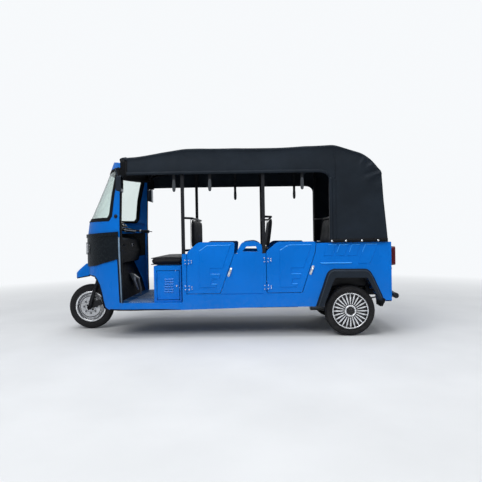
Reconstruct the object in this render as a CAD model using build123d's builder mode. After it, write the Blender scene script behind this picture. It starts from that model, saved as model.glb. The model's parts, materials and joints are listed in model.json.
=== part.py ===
"""Three-row electric passenger tricycle: sheet steel body on a ladder frame, canvas top on a tube frame.

Millimetres. +X points to the rear, +Y to the vehicle's right, +Z up. The floor is z = 0 and the
origin lies under the middle of the vehicle. Left and right pieces are drawn on one side and mirrored.
"""

from build123d import *
from math import cos, radians, sin, sqrt, tan
import os

os.makedirs("parts", exist_ok=True)

# Overall sizes
wheelbase = 2770
front_axle_x = -1518
rear_axle_x = front_axle_x + wheelbase
rear_track = 1080
body_half_width = 620
wall = 40
touch_gap = 0.3
door_gap = 5

# Wheels
tyre_radius = 248
bead_radius = 178
bead_gap = 0.2
running_gap = 0.05
front_tyre_width = 100
rear_tyre_width = 112
front_spindle_radius = 8
rear_spindle_radius = 17
trim_spokes = 24

# Ladder frame
rail_y = 300
rail_width = 40
rail_height = 60
rail_z = 251
rail_front_x = -980
rail_rear_x = 1640
kick_x = 760
kick_rise = 120
member = 40
sheet = 4

# Steering
rake = 18
axis_lead = 40
fork_half = 85
steer_tube_radius = 20

# Cab front, in plan an arc through its foremost point and its two rear corners
nose_front_x = -1510
nose_rear_x = -1010
nose_half = body_half_width - 3
nose_low_z = 283
cowl_foot_z = 1045
nose_high_z = 1178
cowl_top_front_x = -1490
post_front_x = -1033
screen_top_front_x = -1187
screen_top_rear_x = -992
screen_top_half = body_half_width - 14
screen_top_z = 1820

# Body
sill_low_z = 283
panel_low_z = 300
belt_z = 836
quarter_top_z = 923
pole_1_x = -388
pole_2_x = 410
pole_3_x = 1075
tube = 32
seam_x = 405
panel_front_x = -402
panel_rear_x = 1640
quarter_front_x = 790
tail_low_z = 346
door_low_z = 442
hinge_out = 7
hinge_radius = 6
hinge_pin_radius = 3
hinge_leaf = 26
long_leaf = 54
hinge_sheet = 3
knuckle = 18
knuckle_gap = 0.3

# Canopy, its edge line from front to rear as x, z
roof_line = (
    (-1135, 1790),
    (-840, 1802),
    (-360, 1875),
    (530, 1864),
    (1110, 1882),
    (1385, 1792),
    (1487, 1714),
    (1562, 1606),
)
canopy_half = body_half_width + 25
canopy_sheet = 10
canopy_crown = 45
canopy_shoulder = 30
valance_z = 1620
curtain_front_x = 1057
curtain_low_z = 926

floor_top_z = rail_z + rail_height + member + sheet
floor_low_z = floor_top_z - sheet
rail_top_z = rail_z + rail_height
deck_low_z = rail_top_z + kick_rise + member
inner_y = body_half_width - wall
house_y = inner_y - 150


def side_plane(y):
    """A plane that looks along Y: its own x is +X, its own y is +Z, and it grows towards -Y."""
    return Plane(origin=(0, y, 0), x_dir=(1, 0, 0), z_dir=(0, -1, 0))


def roof_z(x):
    """Height of the canopy's edge line at x."""
    for (x0, z0), (x1, z1) in zip(roof_line, roof_line[1:]):
        if x <= x1:
            return z0 + (z1 - z0) * (x - x0) / (x1 - x0)
    return roof_line[-1][1]


def tube_top_z(x):
    """Upper side of the roof rails, just under the canopy."""
    return roof_z(x) - canopy_sheet - touch_gap


def tube_low_z(x):
    """Lower side of the roof rails, where poles and straps end."""
    return tube_top_z(x) - tube


def steering_x(z):
    """Where the raked steering axis is at height z."""
    return front_axle_x + axis_lead + (z - tyre_radius) * tan(radians(rake))


def steering_plane(along):
    """A plane across the steering axis, at a distance along it from axle height."""
    lean = radians(rake)
    return Plane(
        origin=(front_axle_x + axis_lead + along * sin(lean), 0, tyre_radius + along * cos(lean)),
        x_dir=(cos(lean), 0, -sin(lean)),
        z_dir=(sin(lean), 0, cos(lean)),
    )


def nose_band(depth_out, depth_in, low_z, high_z, rear_x):
    """The curved cab wall between two depths behind its outer face, cut off at rear_x."""
    with BuildPart() as band:
        with BuildSketch(Plane.XY.offset(low_z)):
            with BuildLine():
                outer = ThreePointArc(
                    (nose_rear_x, -nose_half + depth_out),
                    (nose_front_x + depth_out, 0),
                    (nose_rear_x, nose_half - depth_out),
                )
                inner = ThreePointArc(
                    (nose_rear_x, nose_half - depth_in),
                    (nose_front_x + depth_in, 0),
                    (nose_rear_x, -nose_half + depth_in),
                )
                Line(outer @ 1, inner @ 0)
                Line(inner @ 1, outer @ 0)
            make_face()
        extrude(amount=high_z - low_z)
        split(bisect_by=Plane.YZ.offset(rear_x), keep=Keep.BOTTOM)
    return band.part


def nose_plug(depth, low_z, high_z):
    """All that lies inside the curved cab wall, at a depth behind its outer face."""
    with BuildPart() as plug:
        with BuildSketch(Plane.XY.offset(low_z)):
            with BuildLine():
                front = ThreePointArc(
                    (nose_rear_x, -nose_half + depth),
                    (nose_front_x + depth, 0),
                    (nose_rear_x, nose_half - depth),
                )
                Line(front @ 1, front @ 0)
            make_face()
        extrude(amount=high_z - low_z)
    return plug.part


cowl_foot = (cowl_foot_z, nose_front_x, nose_rear_x, nose_half)
screen_foot = (nose_high_z, cowl_top_front_x, nose_rear_x, nose_half)
screen_top = (screen_top_z, screen_top_front_x, screen_top_rear_x, screen_top_half)


def raked_band(depth_out, depth_in, low, high):
    """A raked curved wall between two arcs, each given as height, front x, rear x and half width."""
    with BuildPart() as band:
        for z, front_x, rear_x, half in (low, high):
            with BuildSketch(Plane.XY.offset(z)):
                with BuildLine():
                    outer = ThreePointArc(
                        (rear_x, -half + depth_out), (front_x + depth_out, 0), (rear_x, half - depth_out)
                    )
                    inner = ThreePointArc(
                        (rear_x, half - depth_in), (front_x + depth_in, 0), (rear_x, -half + depth_in)
                    )
                    Line(outer @ 1, inner @ 0)
                    Line(inner @ 1, outer @ 0)
                make_face()
        loft(ruled=True)
    return band.part


# Ladder frame: two rails that rise over the rear axle
kick_run = kick_rise
slope_shift = rail_height * tan(radians(22.5))
with BuildPart() as main_rails:
    with BuildSketch(side_plane(rail_y + rail_width / 2)):
        Polygon(
            (rail_front_x, rail_z),
            (kick_x, rail_z),
            (kick_x + kick_run, rail_z + kick_rise),
            (rail_rear_x, rail_z + kick_rise),
            (rail_rear_x, rail_top_z + kick_rise),
            (kick_x + kick_run - slope_shift, rail_top_z + kick_rise),
            (kick_x - slope_shift, rail_top_z),
            (rail_front_x, rail_top_z),
            align=None,
        )
    extrude(amount=rail_width)
    mirror(about=Plane.XZ)
main_rails.part.label = "main_rails"
export_step(main_rails.part, "parts/main_rails.step")

# Cross members on the rails: rear x of each, half length, and height
member_rows = (
    (-960, inner_y, rail_top_z),
    (-660, inner_y, rail_top_z),
    (-362, inner_y, rail_top_z),
    (-40, inner_y, rail_top_z),
    (282, inner_y, rail_top_z),
    (520, inner_y, rail_top_z),
    (735, inner_y, rail_top_z),
    (1000, house_y - 5, rail_top_z + kick_rise),
    (1250, house_y - 5, rail_top_z + kick_rise),
    (1480, house_y - 5, rail_top_z + kick_rise),
    (1640, inner_y, rail_top_z + kick_rise),
)
with BuildPart() as cross_members:
    for rear_x, half, low_z in member_rows:
        with BuildSketch(Plane.XY.offset(low_z)):
            with Locations((rear_x - member / 2, 0)):
                Rectangle(member, 2 * half)
        extrude(amount=member)
cross_members.part.label = "cross_members"
export_step(cross_members.part, "parts/cross_members.step")

# Steering neck: front beam, backbone and head tube in one weldment
head_low = 395
head_high = 575
head_radius = 32
head_bore = steer_tube_radius + running_gap
neck_half = 25
with BuildPart() as steering_neck:
    with BuildSketch(Plane.XY.offset(rail_z)):
        with Locations((rail_front_x - member / 2, 0)):
            Rectangle(member, 2 * rail_y + rail_width)
    extrude(amount=rail_height)
    with BuildSketch(side_plane(neck_half)):
        Polygon(
            (rail_front_x - member, rail_z),
            (rail_front_x - member, rail_top_z),
            (rail_front_x - 80, rail_top_z + 60),
            (steering_x(760) + 5, 760),
            (steering_x(690) + 5, 690),
            (rail_front_x - 110, rail_top_z),
            align=None,
        )
    extrude(amount=2 * neck_half)
    with BuildSketch(steering_plane(head_low)):
        Circle(head_radius)
    extrude(amount=head_high - head_low)
    with BuildSketch(steering_plane(head_low)):
        Circle(head_bore)
    extrude(amount=head_high - head_low, mode=Mode.SUBTRACT)
steering_neck.part.label = "steering_neck"
export_step(steering_neck.part, "parts/steering_neck.step")

# Rear axle: tube, differential, spring pads, brake plates and the two spindles
axle_tube_radius = 30
axle_half = 455
spindle_half = 566
pad_half = 45
pad_z = tyre_radius + 36
with BuildPart() as rear_axle:
    with BuildSketch(side_plane(axle_half)):
        with Locations((rear_axle_x, tyre_radius)):
            Circle(axle_tube_radius)
    extrude(amount=2 * axle_half)
    with BuildSketch(side_plane(spindle_half)):
        with Locations((rear_axle_x, tyre_radius)):
            Circle(rear_spindle_radius)
    extrude(amount=2 * spindle_half)
    for plate_y in (axle_half, -axle_half + 15):
        with BuildSketch(side_plane(plate_y)):
            with Locations((rear_axle_x, tyre_radius)):
                Circle(105)
        extrude(amount=15)
    with BuildSketch(Plane(origin=(rear_axle_x, 0, tyre_radius), x_dir=(0, 1, 0), z_dir=(1, 0, 0))):
        with BuildLine():
            belly = ThreePointArc((-110, 40), (0, 100), (110, 40))
            Polyline(belly @ 1, (110, 0), (-110, 0), belly @ 0)
        make_face()
    revolve(axis=Axis((rear_axle_x, 0, tyre_radius), (0, 1, 0)))
    for pad_y in (rail_y, -rail_y):
        with BuildSketch(Plane.XY.offset(tyre_radius)):
            with Locations((rear_axle_x, pad_y)):
                Rectangle(2 * pad_half, rail_width + 10)
        extrude(amount=pad_z - tyre_radius)
rear_axle.part.label = "rear_axle"
export_step(rear_axle.part, "parts/rear_axle.step")

# Drive motor, flanged to the front of the differential
motor_radius = 82
motor_gap = 100
motor_length = 230
with BuildPart() as drive_motor:
    with BuildSketch(Plane.YZ.offset(rear_axle_x - motor_gap - motor_length)):
        with Locations((0, tyre_radius)):
            Circle(motor_radius)
    extrude(amount=motor_length)
    chamfer(drive_motor.edges().filter_by(GeomType.CIRCLE), 10)
    with BuildSketch(Plane.YZ.offset(rear_axle_x - motor_gap)):
        with Locations((0, tyre_radius)):
            Circle(60)
    extrude(until=Until.NEXT, target=rear_axle.part)
drive_motor.part.label = "drive_motor"
export_step(drive_motor.part, "parts/drive_motor.step")

# Leaf springs: stacked leaves clamped on the axle, with eyes in hangers under the rails
spring_half = 350
spring_sag = 38
leaf = 8
leaf_halves = (350, 250, 150)
eye_radius = 16
hanger_half = 20
rail_under_z = rail_z + kick_rise
spring_radius = (spring_half**2 + spring_sag**2) / (2 * spring_sag)
clamp_low_z = pad_z
leaf_low_z = clamp_low_z + leaf
arc_centre_z = leaf_low_z + leaf * len(leaf_halves) + spring_radius
with BuildPart() as leaf_springs:
    with BuildSketch(side_plane(rail_y + rail_width / 2)):
        for level, half in enumerate(leaf_halves):
            inner_r = spring_radius + leaf * level
            outer_r = inner_r + leaf
            with BuildLine():
                upper = ThreePointArc(
                    (rear_axle_x - half, arc_centre_z - sqrt(inner_r**2 - half**2)),
                    (rear_axle_x, arc_centre_z - inner_r),
                    (rear_axle_x + half, arc_centre_z - sqrt(inner_r**2 - half**2)),
                )
                lower = ThreePointArc(
                    (rear_axle_x + half, arc_centre_z - sqrt(outer_r**2 - half**2)),
                    (rear_axle_x, arc_centre_z - outer_r),
                    (rear_axle_x - half, arc_centre_z - sqrt(outer_r**2 - half**2)),
                )
                Line(upper @ 1, lower @ 0)
                Line(lower @ 1, upper @ 0)
            make_face()
        eye_z = arc_centre_z - sqrt((spring_radius + leaf / 2) ** 2 - spring_half**2)
        with Locations((rear_axle_x - spring_half, eye_z), (rear_axle_x + spring_half, eye_z)):
            Circle(eye_radius)
        for hanger_x in (rear_axle_x - spring_half, rear_axle_x + spring_half):
            Polygon(
                (hanger_x - eye_radius, eye_z),
                (hanger_x + eye_radius, eye_z),
                (hanger_x + hanger_half, rail_under_z),
                (hanger_x - hanger_half, rail_under_z),
                align=None,
            )
        with Locations((rear_axle_x, (clamp_low_z + arc_centre_z - spring_radius + leaf) / 2)):
            Rectangle(2 * pad_half, arc_centre_z - spring_radius + leaf - clamp_low_z)
    extrude(amount=rail_width)
    mirror(about=Plane.XZ)
leaf_springs.part.label = "leaf_springs"
export_step(leaf_springs.part, "parts/leaf_springs.step")

# Floor: flat from the sills, a toe board up to the dashboard and a raised deck over the axle
toe_half = body_half_width - 60
toe_top_x = -1185
toe_top_z = 735
deck_front_x = kick_x + 10
deck_half = house_y - 5
with BuildPart() as toe_board:
    with BuildSketch(side_plane(toe_half)):
        Polygon(
            (nose_rear_x, floor_low_z),
            (nose_rear_x, floor_top_z),
            (-1038, floor_top_z),
            (-1078, 500),
            (toe_top_x + sheet, toe_top_z),
            (toe_top_x, toe_top_z),
            (-1082, 500),
            (-1042, floor_low_z),
            align=None,
        )
    extrude(amount=2 * toe_half)
    add(nose_plug(6.3, nose_low_z, nose_high_z), mode=Mode.INTERSECT)

with BuildPart() as floor_pan:
    with BuildSketch(Plane.XY.offset(floor_low_z)):
        with Locations(((nose_rear_x + deck_front_x) / 2, 0)):
            Rectangle(deck_front_x - nose_rear_x, 2 * inner_y)
    extrude(amount=sheet)
    with BuildSketch(side_plane(inner_y)):
        Polygon(
            (deck_front_x - sheet, floor_low_z),
            (deck_front_x, floor_low_z),
            (deck_front_x, deck_low_z + sheet),
            (deck_front_x - sheet, deck_low_z + sheet),
            align=None,
        )
    extrude(amount=2 * inner_y)
    with BuildSketch(Plane.XY.offset(deck_low_z)):
        with Locations(((deck_front_x + panel_rear_x) / 2, 0)):
            Rectangle(panel_rear_x - deck_front_x, 2 * deck_half)
    extrude(amount=sheet)
    add(toe_board.part)
floor_pan.part.label = "floor_pan"
export_step(floor_pan.part, "parts/floor_pan.step")

# Cab front: cowl over a dark lamp band over a lower shield, all on the curved cab wall
cab_wall = 6
band_low = ((-1545, 700), (-1313, 725), (-1215, 752), (post_front_x, 797))
band_high = ((-1545, cowl_foot_z), (post_front_x, 1068))
with BuildPart() as front_cowl:
    add(raked_band(0, cab_wall, cowl_foot, screen_foot))
    with BuildSketch(Plane.XZ):
        Polygon(*band_high, (post_front_x, nose_high_z), (-1545, nose_high_z), align=None)
    extrude(amount=canopy_half, both=True, mode=Mode.INTERSECT)
front_cowl.part.label = "front_cowl"
export_step(front_cowl.part, "parts/front_cowl.step")

band_proud = 10
ledge_proud = 18
ledge_height = 36
with BuildPart() as lamp_ledge:
    add(nose_band(-ledge_proud, cab_wall - 2, nose_low_z, nose_high_z, post_front_x))
    with BuildSketch(Plane.XZ):
        Polygon(*band_high, *((x, z - ledge_height) for x, z in reversed(band_high)), align=None)
    extrude(amount=canopy_half, both=True, mode=Mode.INTERSECT)

with BuildPart() as lamp_band:
    add(nose_band(-band_proud, cab_wall - 2, nose_low_z, nose_high_z, post_front_x))
    with BuildSketch(Plane.XZ):
        Polygon(*band_low, *reversed(band_high), align=None)
    extrude(amount=canopy_half, both=True, mode=Mode.INTERSECT)
    add(lamp_ledge.part)
lamp_band.part.label = "lamp_band"
export_step(lamp_band.part, "parts/lamp_band.step")

beak_tip_x = -1677
beak_tip_low_z = 570
beak_tip_high_z = 614
beak_root_z = 733
beak_half = 178
beak_sheet = 8
band_foot_z = band_low[0][1]


def beak_block(inset):
    """The wedge under the lamp band that lies inset behind the beak's outer faces, open below."""
    with BuildPart() as block:
        with BuildSketch(side_plane(beak_half)):
            Polygon(
                (nose_front_x - band_proud, beak_root_z - inset),
                (beak_tip_x + inset, beak_tip_high_z - inset),
                (beak_tip_x + inset, beak_tip_low_z - 2 * inset),
                (-1440, 612 - 2 * inset),
                (-1440, beak_root_z - inset),
                align=None,
            )
        extrude(amount=2 * beak_half)
        with BuildSketch(Plane.XY.offset(beak_tip_low_z - 20)):
            with BuildLine():
                tip = ThreePointArc(
                    (-1560, inset - beak_half + 38), (beak_tip_x + inset, 0), (-1560, beak_half - 38 - inset)
                )
                Polyline(tip @ 1, (-1440, beak_half - inset), (-1440, inset - beak_half), tip @ 0)
            make_face()
        extrude(amount=200, mode=Mode.INTERSECT)
    return block.part


with BuildPart() as beak:
    add(beak_block(0))
    add(beak_block(beak_sheet), mode=Mode.SUBTRACT)
    add(nose_plug(0, 500, band_foot_z), mode=Mode.SUBTRACT)
    add(nose_plug(-band_proud - touch_gap, band_foot_z - touch_gap, 800), mode=Mode.SUBTRACT)

with BuildPart() as front_shield:
    add(nose_band(0, cab_wall, nose_low_z, nose_high_z, post_front_x))
    with BuildSketch(Plane.XZ):
        Polygon(
            *band_low,
            (post_front_x, nose_low_z),
            (-1150, 288),
            (-1193, 306),
            (-1213, 369),
            (-1233, 455),
            (-1260, 534),
            (-1300, 592),
            (-1335, 620),
            (-1545, 628),
            align=None,
        )
    extrude(amount=canopy_half, both=True, mode=Mode.INTERSECT)
    add(beak.part)
front_shield.part.label = "front_shield"
export_step(front_shield.part, "parts/front_shield.step")

# Headlamps: lenses that follow the lamp band
lamp_y = 270
lamp_z = 900
with BuildPart() as headlamps:
    add(nose_band(-band_proud - 10, -band_proud - touch_gap, nose_low_z, nose_high_z, -1200))
    with BuildSketch(Plane.YZ):
        with Locations((lamp_y, lamp_z), (-lamp_y, lamp_z)):
            RectangleRounded(190, 120, 40)
    extrude(amount=-1600, mode=Mode.INTERSECT)
headlamps.part.label = "headlamps"
export_step(headlamps.part, "parts/headlamps.step")

# Windscreen frame: raked pillars, header and door posts
screen_foot_z = nose_high_z + 6
header_low_z = 1712
header_side_z = 1737
pillar_line = ((-1125, screen_foot_z), (-1098, 1225), (-1071, 1454), (-1030, 1636), (-1016, header_low_z))
post_depth = 50
pillar_depth = 30
with BuildPart() as door_posts:
    add(nose_band(0, post_depth, nose_low_z, nose_high_z, nose_rear_x))
    split(bisect_by=Plane.YZ.offset(post_front_x), keep=Keep.TOP)

with BuildPart() as cab_frame:
    add(raked_band(0, pillar_depth, screen_foot, screen_top))
    with BuildSketch(Plane.XZ):
        Polygon(
            (-1600, nose_high_z),
            (nose_rear_x, nose_high_z),
            (screen_top_rear_x, 1623),
            (screen_top_rear_x, screen_top_z),
            (-1600, screen_top_z),
            align=None,
        )
        Polygon((-1600, screen_foot_z), *pillar_line, (-1600, header_low_z), align=None, mode=Mode.SUBTRACT)
    extrude(amount=canopy_half, both=True, mode=Mode.INTERSECT)
    with BuildSketch(Plane.YZ.offset(-1600)):
        with BuildLine():
            crown = ThreePointArc(
                (-canopy_half, header_side_z), (0, screen_top_z), (canopy_half, header_side_z)
            )
            Polyline(crown @ 1, (canopy_half, nose_high_z), (-canopy_half, nose_high_z), crown @ 0)
        make_face()
    extrude(amount=700, mode=Mode.INTERSECT)
    add(door_posts.part)
cab_frame.part.label = "cab_frame"
export_step(cab_frame.part, "parts/cab_frame.step")

seal_depth = 18
glass_low_z = 1212
glass_high_z = 1684
glass_line = ((-1160, glass_low_z), (-1138, 1240), (-1112, 1454), (-1074, 1636), (-1062, glass_high_z))
with BuildPart() as windscreen_seal:
    add(raked_band(0, seal_depth, screen_foot, screen_top))
    with BuildSketch(Plane.XZ):
        Polygon((-1600, screen_foot_z), *pillar_line, (-1600, header_low_z), align=None)
        Polygon((-1600, glass_low_z), *glass_line, (-1600, glass_high_z), align=None, mode=Mode.SUBTRACT)
    extrude(amount=canopy_half, both=True, mode=Mode.INTERSECT)
windscreen_seal.part.label = "windscreen_seal"
export_step(windscreen_seal.part, "parts/windscreen_seal.step")

with BuildPart() as windscreen:
    add(raked_band(6, 11, screen_foot, screen_top))
    with BuildSketch(Plane.XZ):
        Polygon((-1600, glass_low_z), *glass_line, (-1600, glass_high_z), align=None)
    extrude(amount=canopy_half, both=True, mode=Mode.INTERSECT)
windscreen.part.label = "windscreen"
export_step(windscreen.part, "parts/windscreen.step")

# Dashboard: a shelf behind the lamp band and a box over the toe board
with BuildPart() as dashboard:
    with BuildSketch(side_plane(toe_half)):
        Polygon(
            (toe_top_x - 5, toe_top_z),
            (-1120, toe_top_z),
            (-1085, 860),
            (-1110, 985),
            (-1190, 1010),
            (-1440, 1010),
            (-1440, 960),
            (toe_top_x - 5, 960),
            align=None,
        )
    extrude(amount=2 * toe_half)
    add(nose_plug(6.3, nose_low_z, nose_high_z), mode=Mode.INTERSECT)
    with BuildSketch(steering_plane(700)):
        Circle(32)
    extrude(amount=200, mode=Mode.SUBTRACT)
dashboard.part.label = "dashboard"
export_step(dashboard.part, "parts/dashboard.step")

# Doors, each a corner list in x, z with the fillet of each corner
door_front = (
    ((-357, door_low_z), 8),
    ((-350, 850), 45),
    ((-240, 950), 90),
    ((122, 945), 22),
    ((114, 835), 8),
    ((-29, door_low_z), 8),
)
door_rear = (
    ((436, door_low_z), 8),
    ((432, 850), 45),
    ((545, 942), 90),
    ((921, 938), 22),
    ((908, 830), 8),
    ((777, door_low_z), 8),
)
door_depth = 30


def door_face(corners):
    """A door's outline as a face, each corner rounded by its own radius."""
    with BuildSketch() as face:
        Polygon(*(corner for corner, radius in corners), align=None)
        for corner, radius in corners:
            fillet(face.vertices().sort_by_distance(Vector(*corner, 0))[0], radius)
    return face.sketch


door_shapes = {"front": door_face(door_front), "rear": door_face(door_rear)}
hinge_rows = {"front": (-354, (500, 757)), "rear": (429, (498, 765))}


def fixed_hinge(x, face_y, z):
    """The still half of a hinge: a leaf ahead of the pin, with the bored middle knuckle."""
    with BuildPart() as half:
        with BuildSketch(Plane.XY.offset(z - 1.5 * knuckle)):
            with Locations((x - hinge_radius - 1, face_y)):
                Rectangle(hinge_leaf - hinge_radius, hinge_sheet, align=(Align.MAX, Align.MIN))
        extrude(amount=3 * knuckle)
        with BuildSketch(Plane.XY.offset(z - knuckle / 2 + knuckle_gap)):
            with Locations((x, face_y)):
                Rectangle(2 * hinge_radius, hinge_sheet, align=(Align.MAX, Align.MIN))
            with Locations((x, face_y + hinge_out)):
                Circle(hinge_radius)
                Circle(hinge_pin_radius + running_gap, mode=Mode.SUBTRACT)
        extrude(amount=knuckle - 2 * knuckle_gap)
    return half.part


def moving_hinge(x, face_y, z, leaf_length):
    """The turning half of a hinge: a leaf behind the pin, with the outer knuckles and the pin."""
    with BuildPart() as half:
        with BuildSketch(Plane.XY.offset(z - 1.5 * knuckle)):
            with Locations((x + hinge_radius + 1, face_y)):
                Rectangle(leaf_length - hinge_radius, hinge_sheet, align=(Align.MIN, Align.MIN))
            with Locations((x, face_y + hinge_out)):
                Circle(hinge_pin_radius)
        extrude(amount=3 * knuckle)
        for low_z in (z - 1.5 * knuckle, z + 0.5 * knuckle):
            with BuildSketch(Plane.XY.offset(low_z)):
                with Locations((x, face_y)):
                    Rectangle(2 * hinge_radius, hinge_sheet, align=(Align.MIN, Align.MIN))
                with Locations((x, face_y + hinge_out)):
                    Circle(hinge_radius)
            extrude(amount=knuckle)
    return half.part



# Side walls: sill and front panel with the armrest arch, split from the rear panel at a seam
fold_height = 8
fold_depth = 4
with BuildPart() as side_panels_front:
    with BuildSketch(side_plane(body_half_width)):
        Polygon(
            (nose_rear_x, sill_low_z),
            (panel_front_x, sill_low_z),
            (seam_x, panel_low_z),
            (seam_x, 830),
            (118, 830),
            (60, 700),
            (panel_front_x + 49, 700),
            (panel_front_x + 49, belt_z),
            (panel_front_x, belt_z),
            (panel_front_x, floor_top_z),
            (nose_rear_x, floor_top_z),
            align=None,
        )
        offset(door_shapes["front"], amount=door_gap, mode=Mode.SUBTRACT)
        Polygon((142, 825), (195, 939), (320, 949), (386, 916), (389, 825), align=None)
        Polygon((197, 852), (238, 899), (330, 901), (350, 848), align=None, mode=Mode.SUBTRACT)
    extrude(amount=wall)
    with BuildSketch(side_plane(body_half_width)):
        with Locations((seam_x, door_low_z - door_gap)):
            Rectangle(seam_x + 20, fold_height, align=(Align.MAX, Align.MAX))
    extrude(amount=fold_depth, mode=Mode.SUBTRACT)
    front_hinge_x, front_hinge_zs = hinge_rows["front"]
    for hinge_z in front_hinge_zs:
        add(fixed_hinge(front_hinge_x, body_half_width, hinge_z))
    mirror(about=Plane.XZ)
side_panels_front.part.label = "side_panels_front"
export_step(side_panels_front.part, "parts/side_panels_front.step")

arch_front_x = 979
arch_rear_x = 1540
arch = (
    (arch_front_x, 290),
    (1073, 530),
    (1100, 581),
    (1412, 579),
    (1444, 517),
    (arch_rear_x, 330),
    (arch_rear_x, 200),
    (arch_front_x, 200),
)
with BuildPart() as side_panels_rear:
    with BuildSketch(side_plane(body_half_width)):
        Polygon(
            (seam_x, panel_low_z),
            (quarter_front_x, panel_low_z),
            (quarter_front_x, door_low_z + 8),
            (seam_x + 23, door_low_z + 8),
            (seam_x + 23, 830),
            (seam_x, 830),
            align=None,
        )
        offset(door_shapes["rear"], amount=door_gap, mode=Mode.SUBTRACT)
    extrude(amount=wall)
    rear_hinge_x, rear_hinge_zs = hinge_rows["rear"]
    for hinge_z in rear_hinge_zs:
        add(fixed_hinge(rear_hinge_x, body_half_width, hinge_z))
    mirror(about=Plane.XZ)
side_panels_rear.part.label = "side_panels_rear"
export_step(side_panels_rear.part, "parts/side_panels_rear.step")

# Pressings stand proud of the quarter: slanted pads as top front x, top rear x, low z, and a bead
press_out = 4
press_taper = 35
pad_top_z = 906
pad_slant = 0.37
pad_rows = (
    (1035, 1119, 797),
    (1147, 1237, 795),
    (1268, 1355, 793),
    (1397, 1518, 716),
)
bead_row = (958, 1268, 722)
press_bead = 14
with BuildPart() as rear_quarters:
    with BuildSketch(side_plane(-inner_y)):
        Polygon(
            (quarter_front_x, panel_low_z),
            (1560, panel_low_z),
            (1586, tail_low_z),
            (panel_rear_x, tail_low_z),
            (panel_rear_x, quarter_top_z),
            (925, quarter_top_z),
            (915, 835),
            (quarter_front_x, 460),
            align=None,
        )
        offset(door_shapes["rear"], amount=door_gap, mode=Mode.SUBTRACT)
        Polygon(*arch, align=None, mode=Mode.SUBTRACT)
    extrude(amount=wall)
    with BuildSketch(side_plane(-body_half_width)):
        for top_front_x, top_rear_x, low_z in pad_rows:
            shift = pad_slant * (pad_top_z - low_z)
            Polygon(
                (top_front_x, pad_top_z),
                (top_rear_x, pad_top_z),
                (top_rear_x - shift, low_z),
                (top_front_x - shift, low_z),
                align=None,
            )
        bead_front_x, bead_rear_x, bead_z = bead_row
        with Locations(((bead_front_x + bead_rear_x) / 2, bead_z)):
            SlotOverall(bead_rear_x - bead_front_x, press_bead)
    extrude(amount=press_out, taper=press_taper)
    mirror(about=Plane.XZ)
rear_quarters.part.label = "rear_quarters"
export_step(rear_quarters.part, "parts/rear_quarters.step")

flare_out = 30
flare = (
    (911, 293),
    (1023, 620),
    (1046, 649),
    (1083, 667),
    (1409, 662),
    (1446, 636),
    (1475, 584),
    (1567, 381),
)
flare_taper = 30
with BuildPart() as wheel_flares:
    with BuildSketch(side_plane(-body_half_width)):
        Polygon(
            *flare,
            (1560, tail_low_z),
            (arch_rear_x, tail_low_z),
            (arch_rear_x, 200),
            (880, 200),
            align=None,
        )
    extrude(amount=flare_out, taper=flare_taper)
    with BuildSketch(side_plane(-body_half_width)):
        Polygon(*arch, align=None)
        with Locations((rear_axle_x, panel_low_z)):
            Rectangle(900, 200, align=(Align.CENTER, Align.MAX))
    extrude(amount=flare_out, mode=Mode.SUBTRACT)
    mirror(about=Plane.XZ)
wheel_flares.part.label = "wheel_flares"
export_step(wheel_flares.part, "parts/wheel_flares.step")

with BuildPart() as wheel_houses:
    with BuildSketch(side_plane(inner_y)):
        Polygon(
            (1060, 497),
            (1100, 585),
            (1412, 583),
            (1448, 509),
            (1448, 517),
            (1414, 590),
            (1098, 590),
            (1056, 506),
            align=None,
        )
    extrude(amount=inner_y - house_y)
    with BuildSketch(side_plane(house_y)):
        Polygon((1056, 480), (1098, 590), (1414, 590), (1448, 517), (1448, 480), align=None)
    extrude(amount=sheet)
    mirror(about=Plane.XZ)
wheel_houses.part.label = "wheel_houses"
export_step(wheel_houses.part, "parts/wheel_houses.step")

# Tail panel: a raised field round a flat seat for the plate, with its two holes
tail_sheet = 12
plate_z = 600
plate_half_width = 240
plate_hole_y = 100
plate_hole_radius = 3.3
with BuildPart() as rear_panel:
    with BuildSketch(Plane.YZ.offset(panel_rear_x)):
        with Locations((0, (tail_low_z + quarter_top_z) / 2)):
            Rectangle(2 * body_half_width, quarter_top_z - tail_low_z)
    extrude(amount=tail_sheet)
    with BuildSketch(Plane.YZ.offset(panel_rear_x + tail_sheet)):
        with Locations((0, 660)):
            RectangleRounded(2 * body_half_width - 380, 400, 40)
        with Locations((0, plate_z)):
            RectangleRounded(plate_half_width * 2, 180, 12, mode=Mode.SUBTRACT)
    extrude(amount=press_out, taper=press_taper)
    with BuildSketch(Plane.YZ.offset(panel_rear_x)):
        with Locations((plate_hole_y, plate_z), (-plate_hole_y, plate_z)):
            Circle(plate_hole_radius)
    extrude(amount=tail_sheet, mode=Mode.SUBTRACT)
rear_panel.part.label = "rear_panel"
export_step(rear_panel.part, "parts/rear_panel.step")

with BuildPart() as tail_lamps:
    with BuildSketch(Plane.YZ.offset(panel_rear_x + tail_sheet)):
        with Locations((body_half_width - 65, 785), (65 - body_half_width, 785)):
            RectangleRounded(90, 190, 20)
    extrude(amount=46, taper=6)
tail_lamps.part.label = "tail_lamps"
export_step(tail_lamps.part, "parts/tail_lamps.step")

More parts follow.
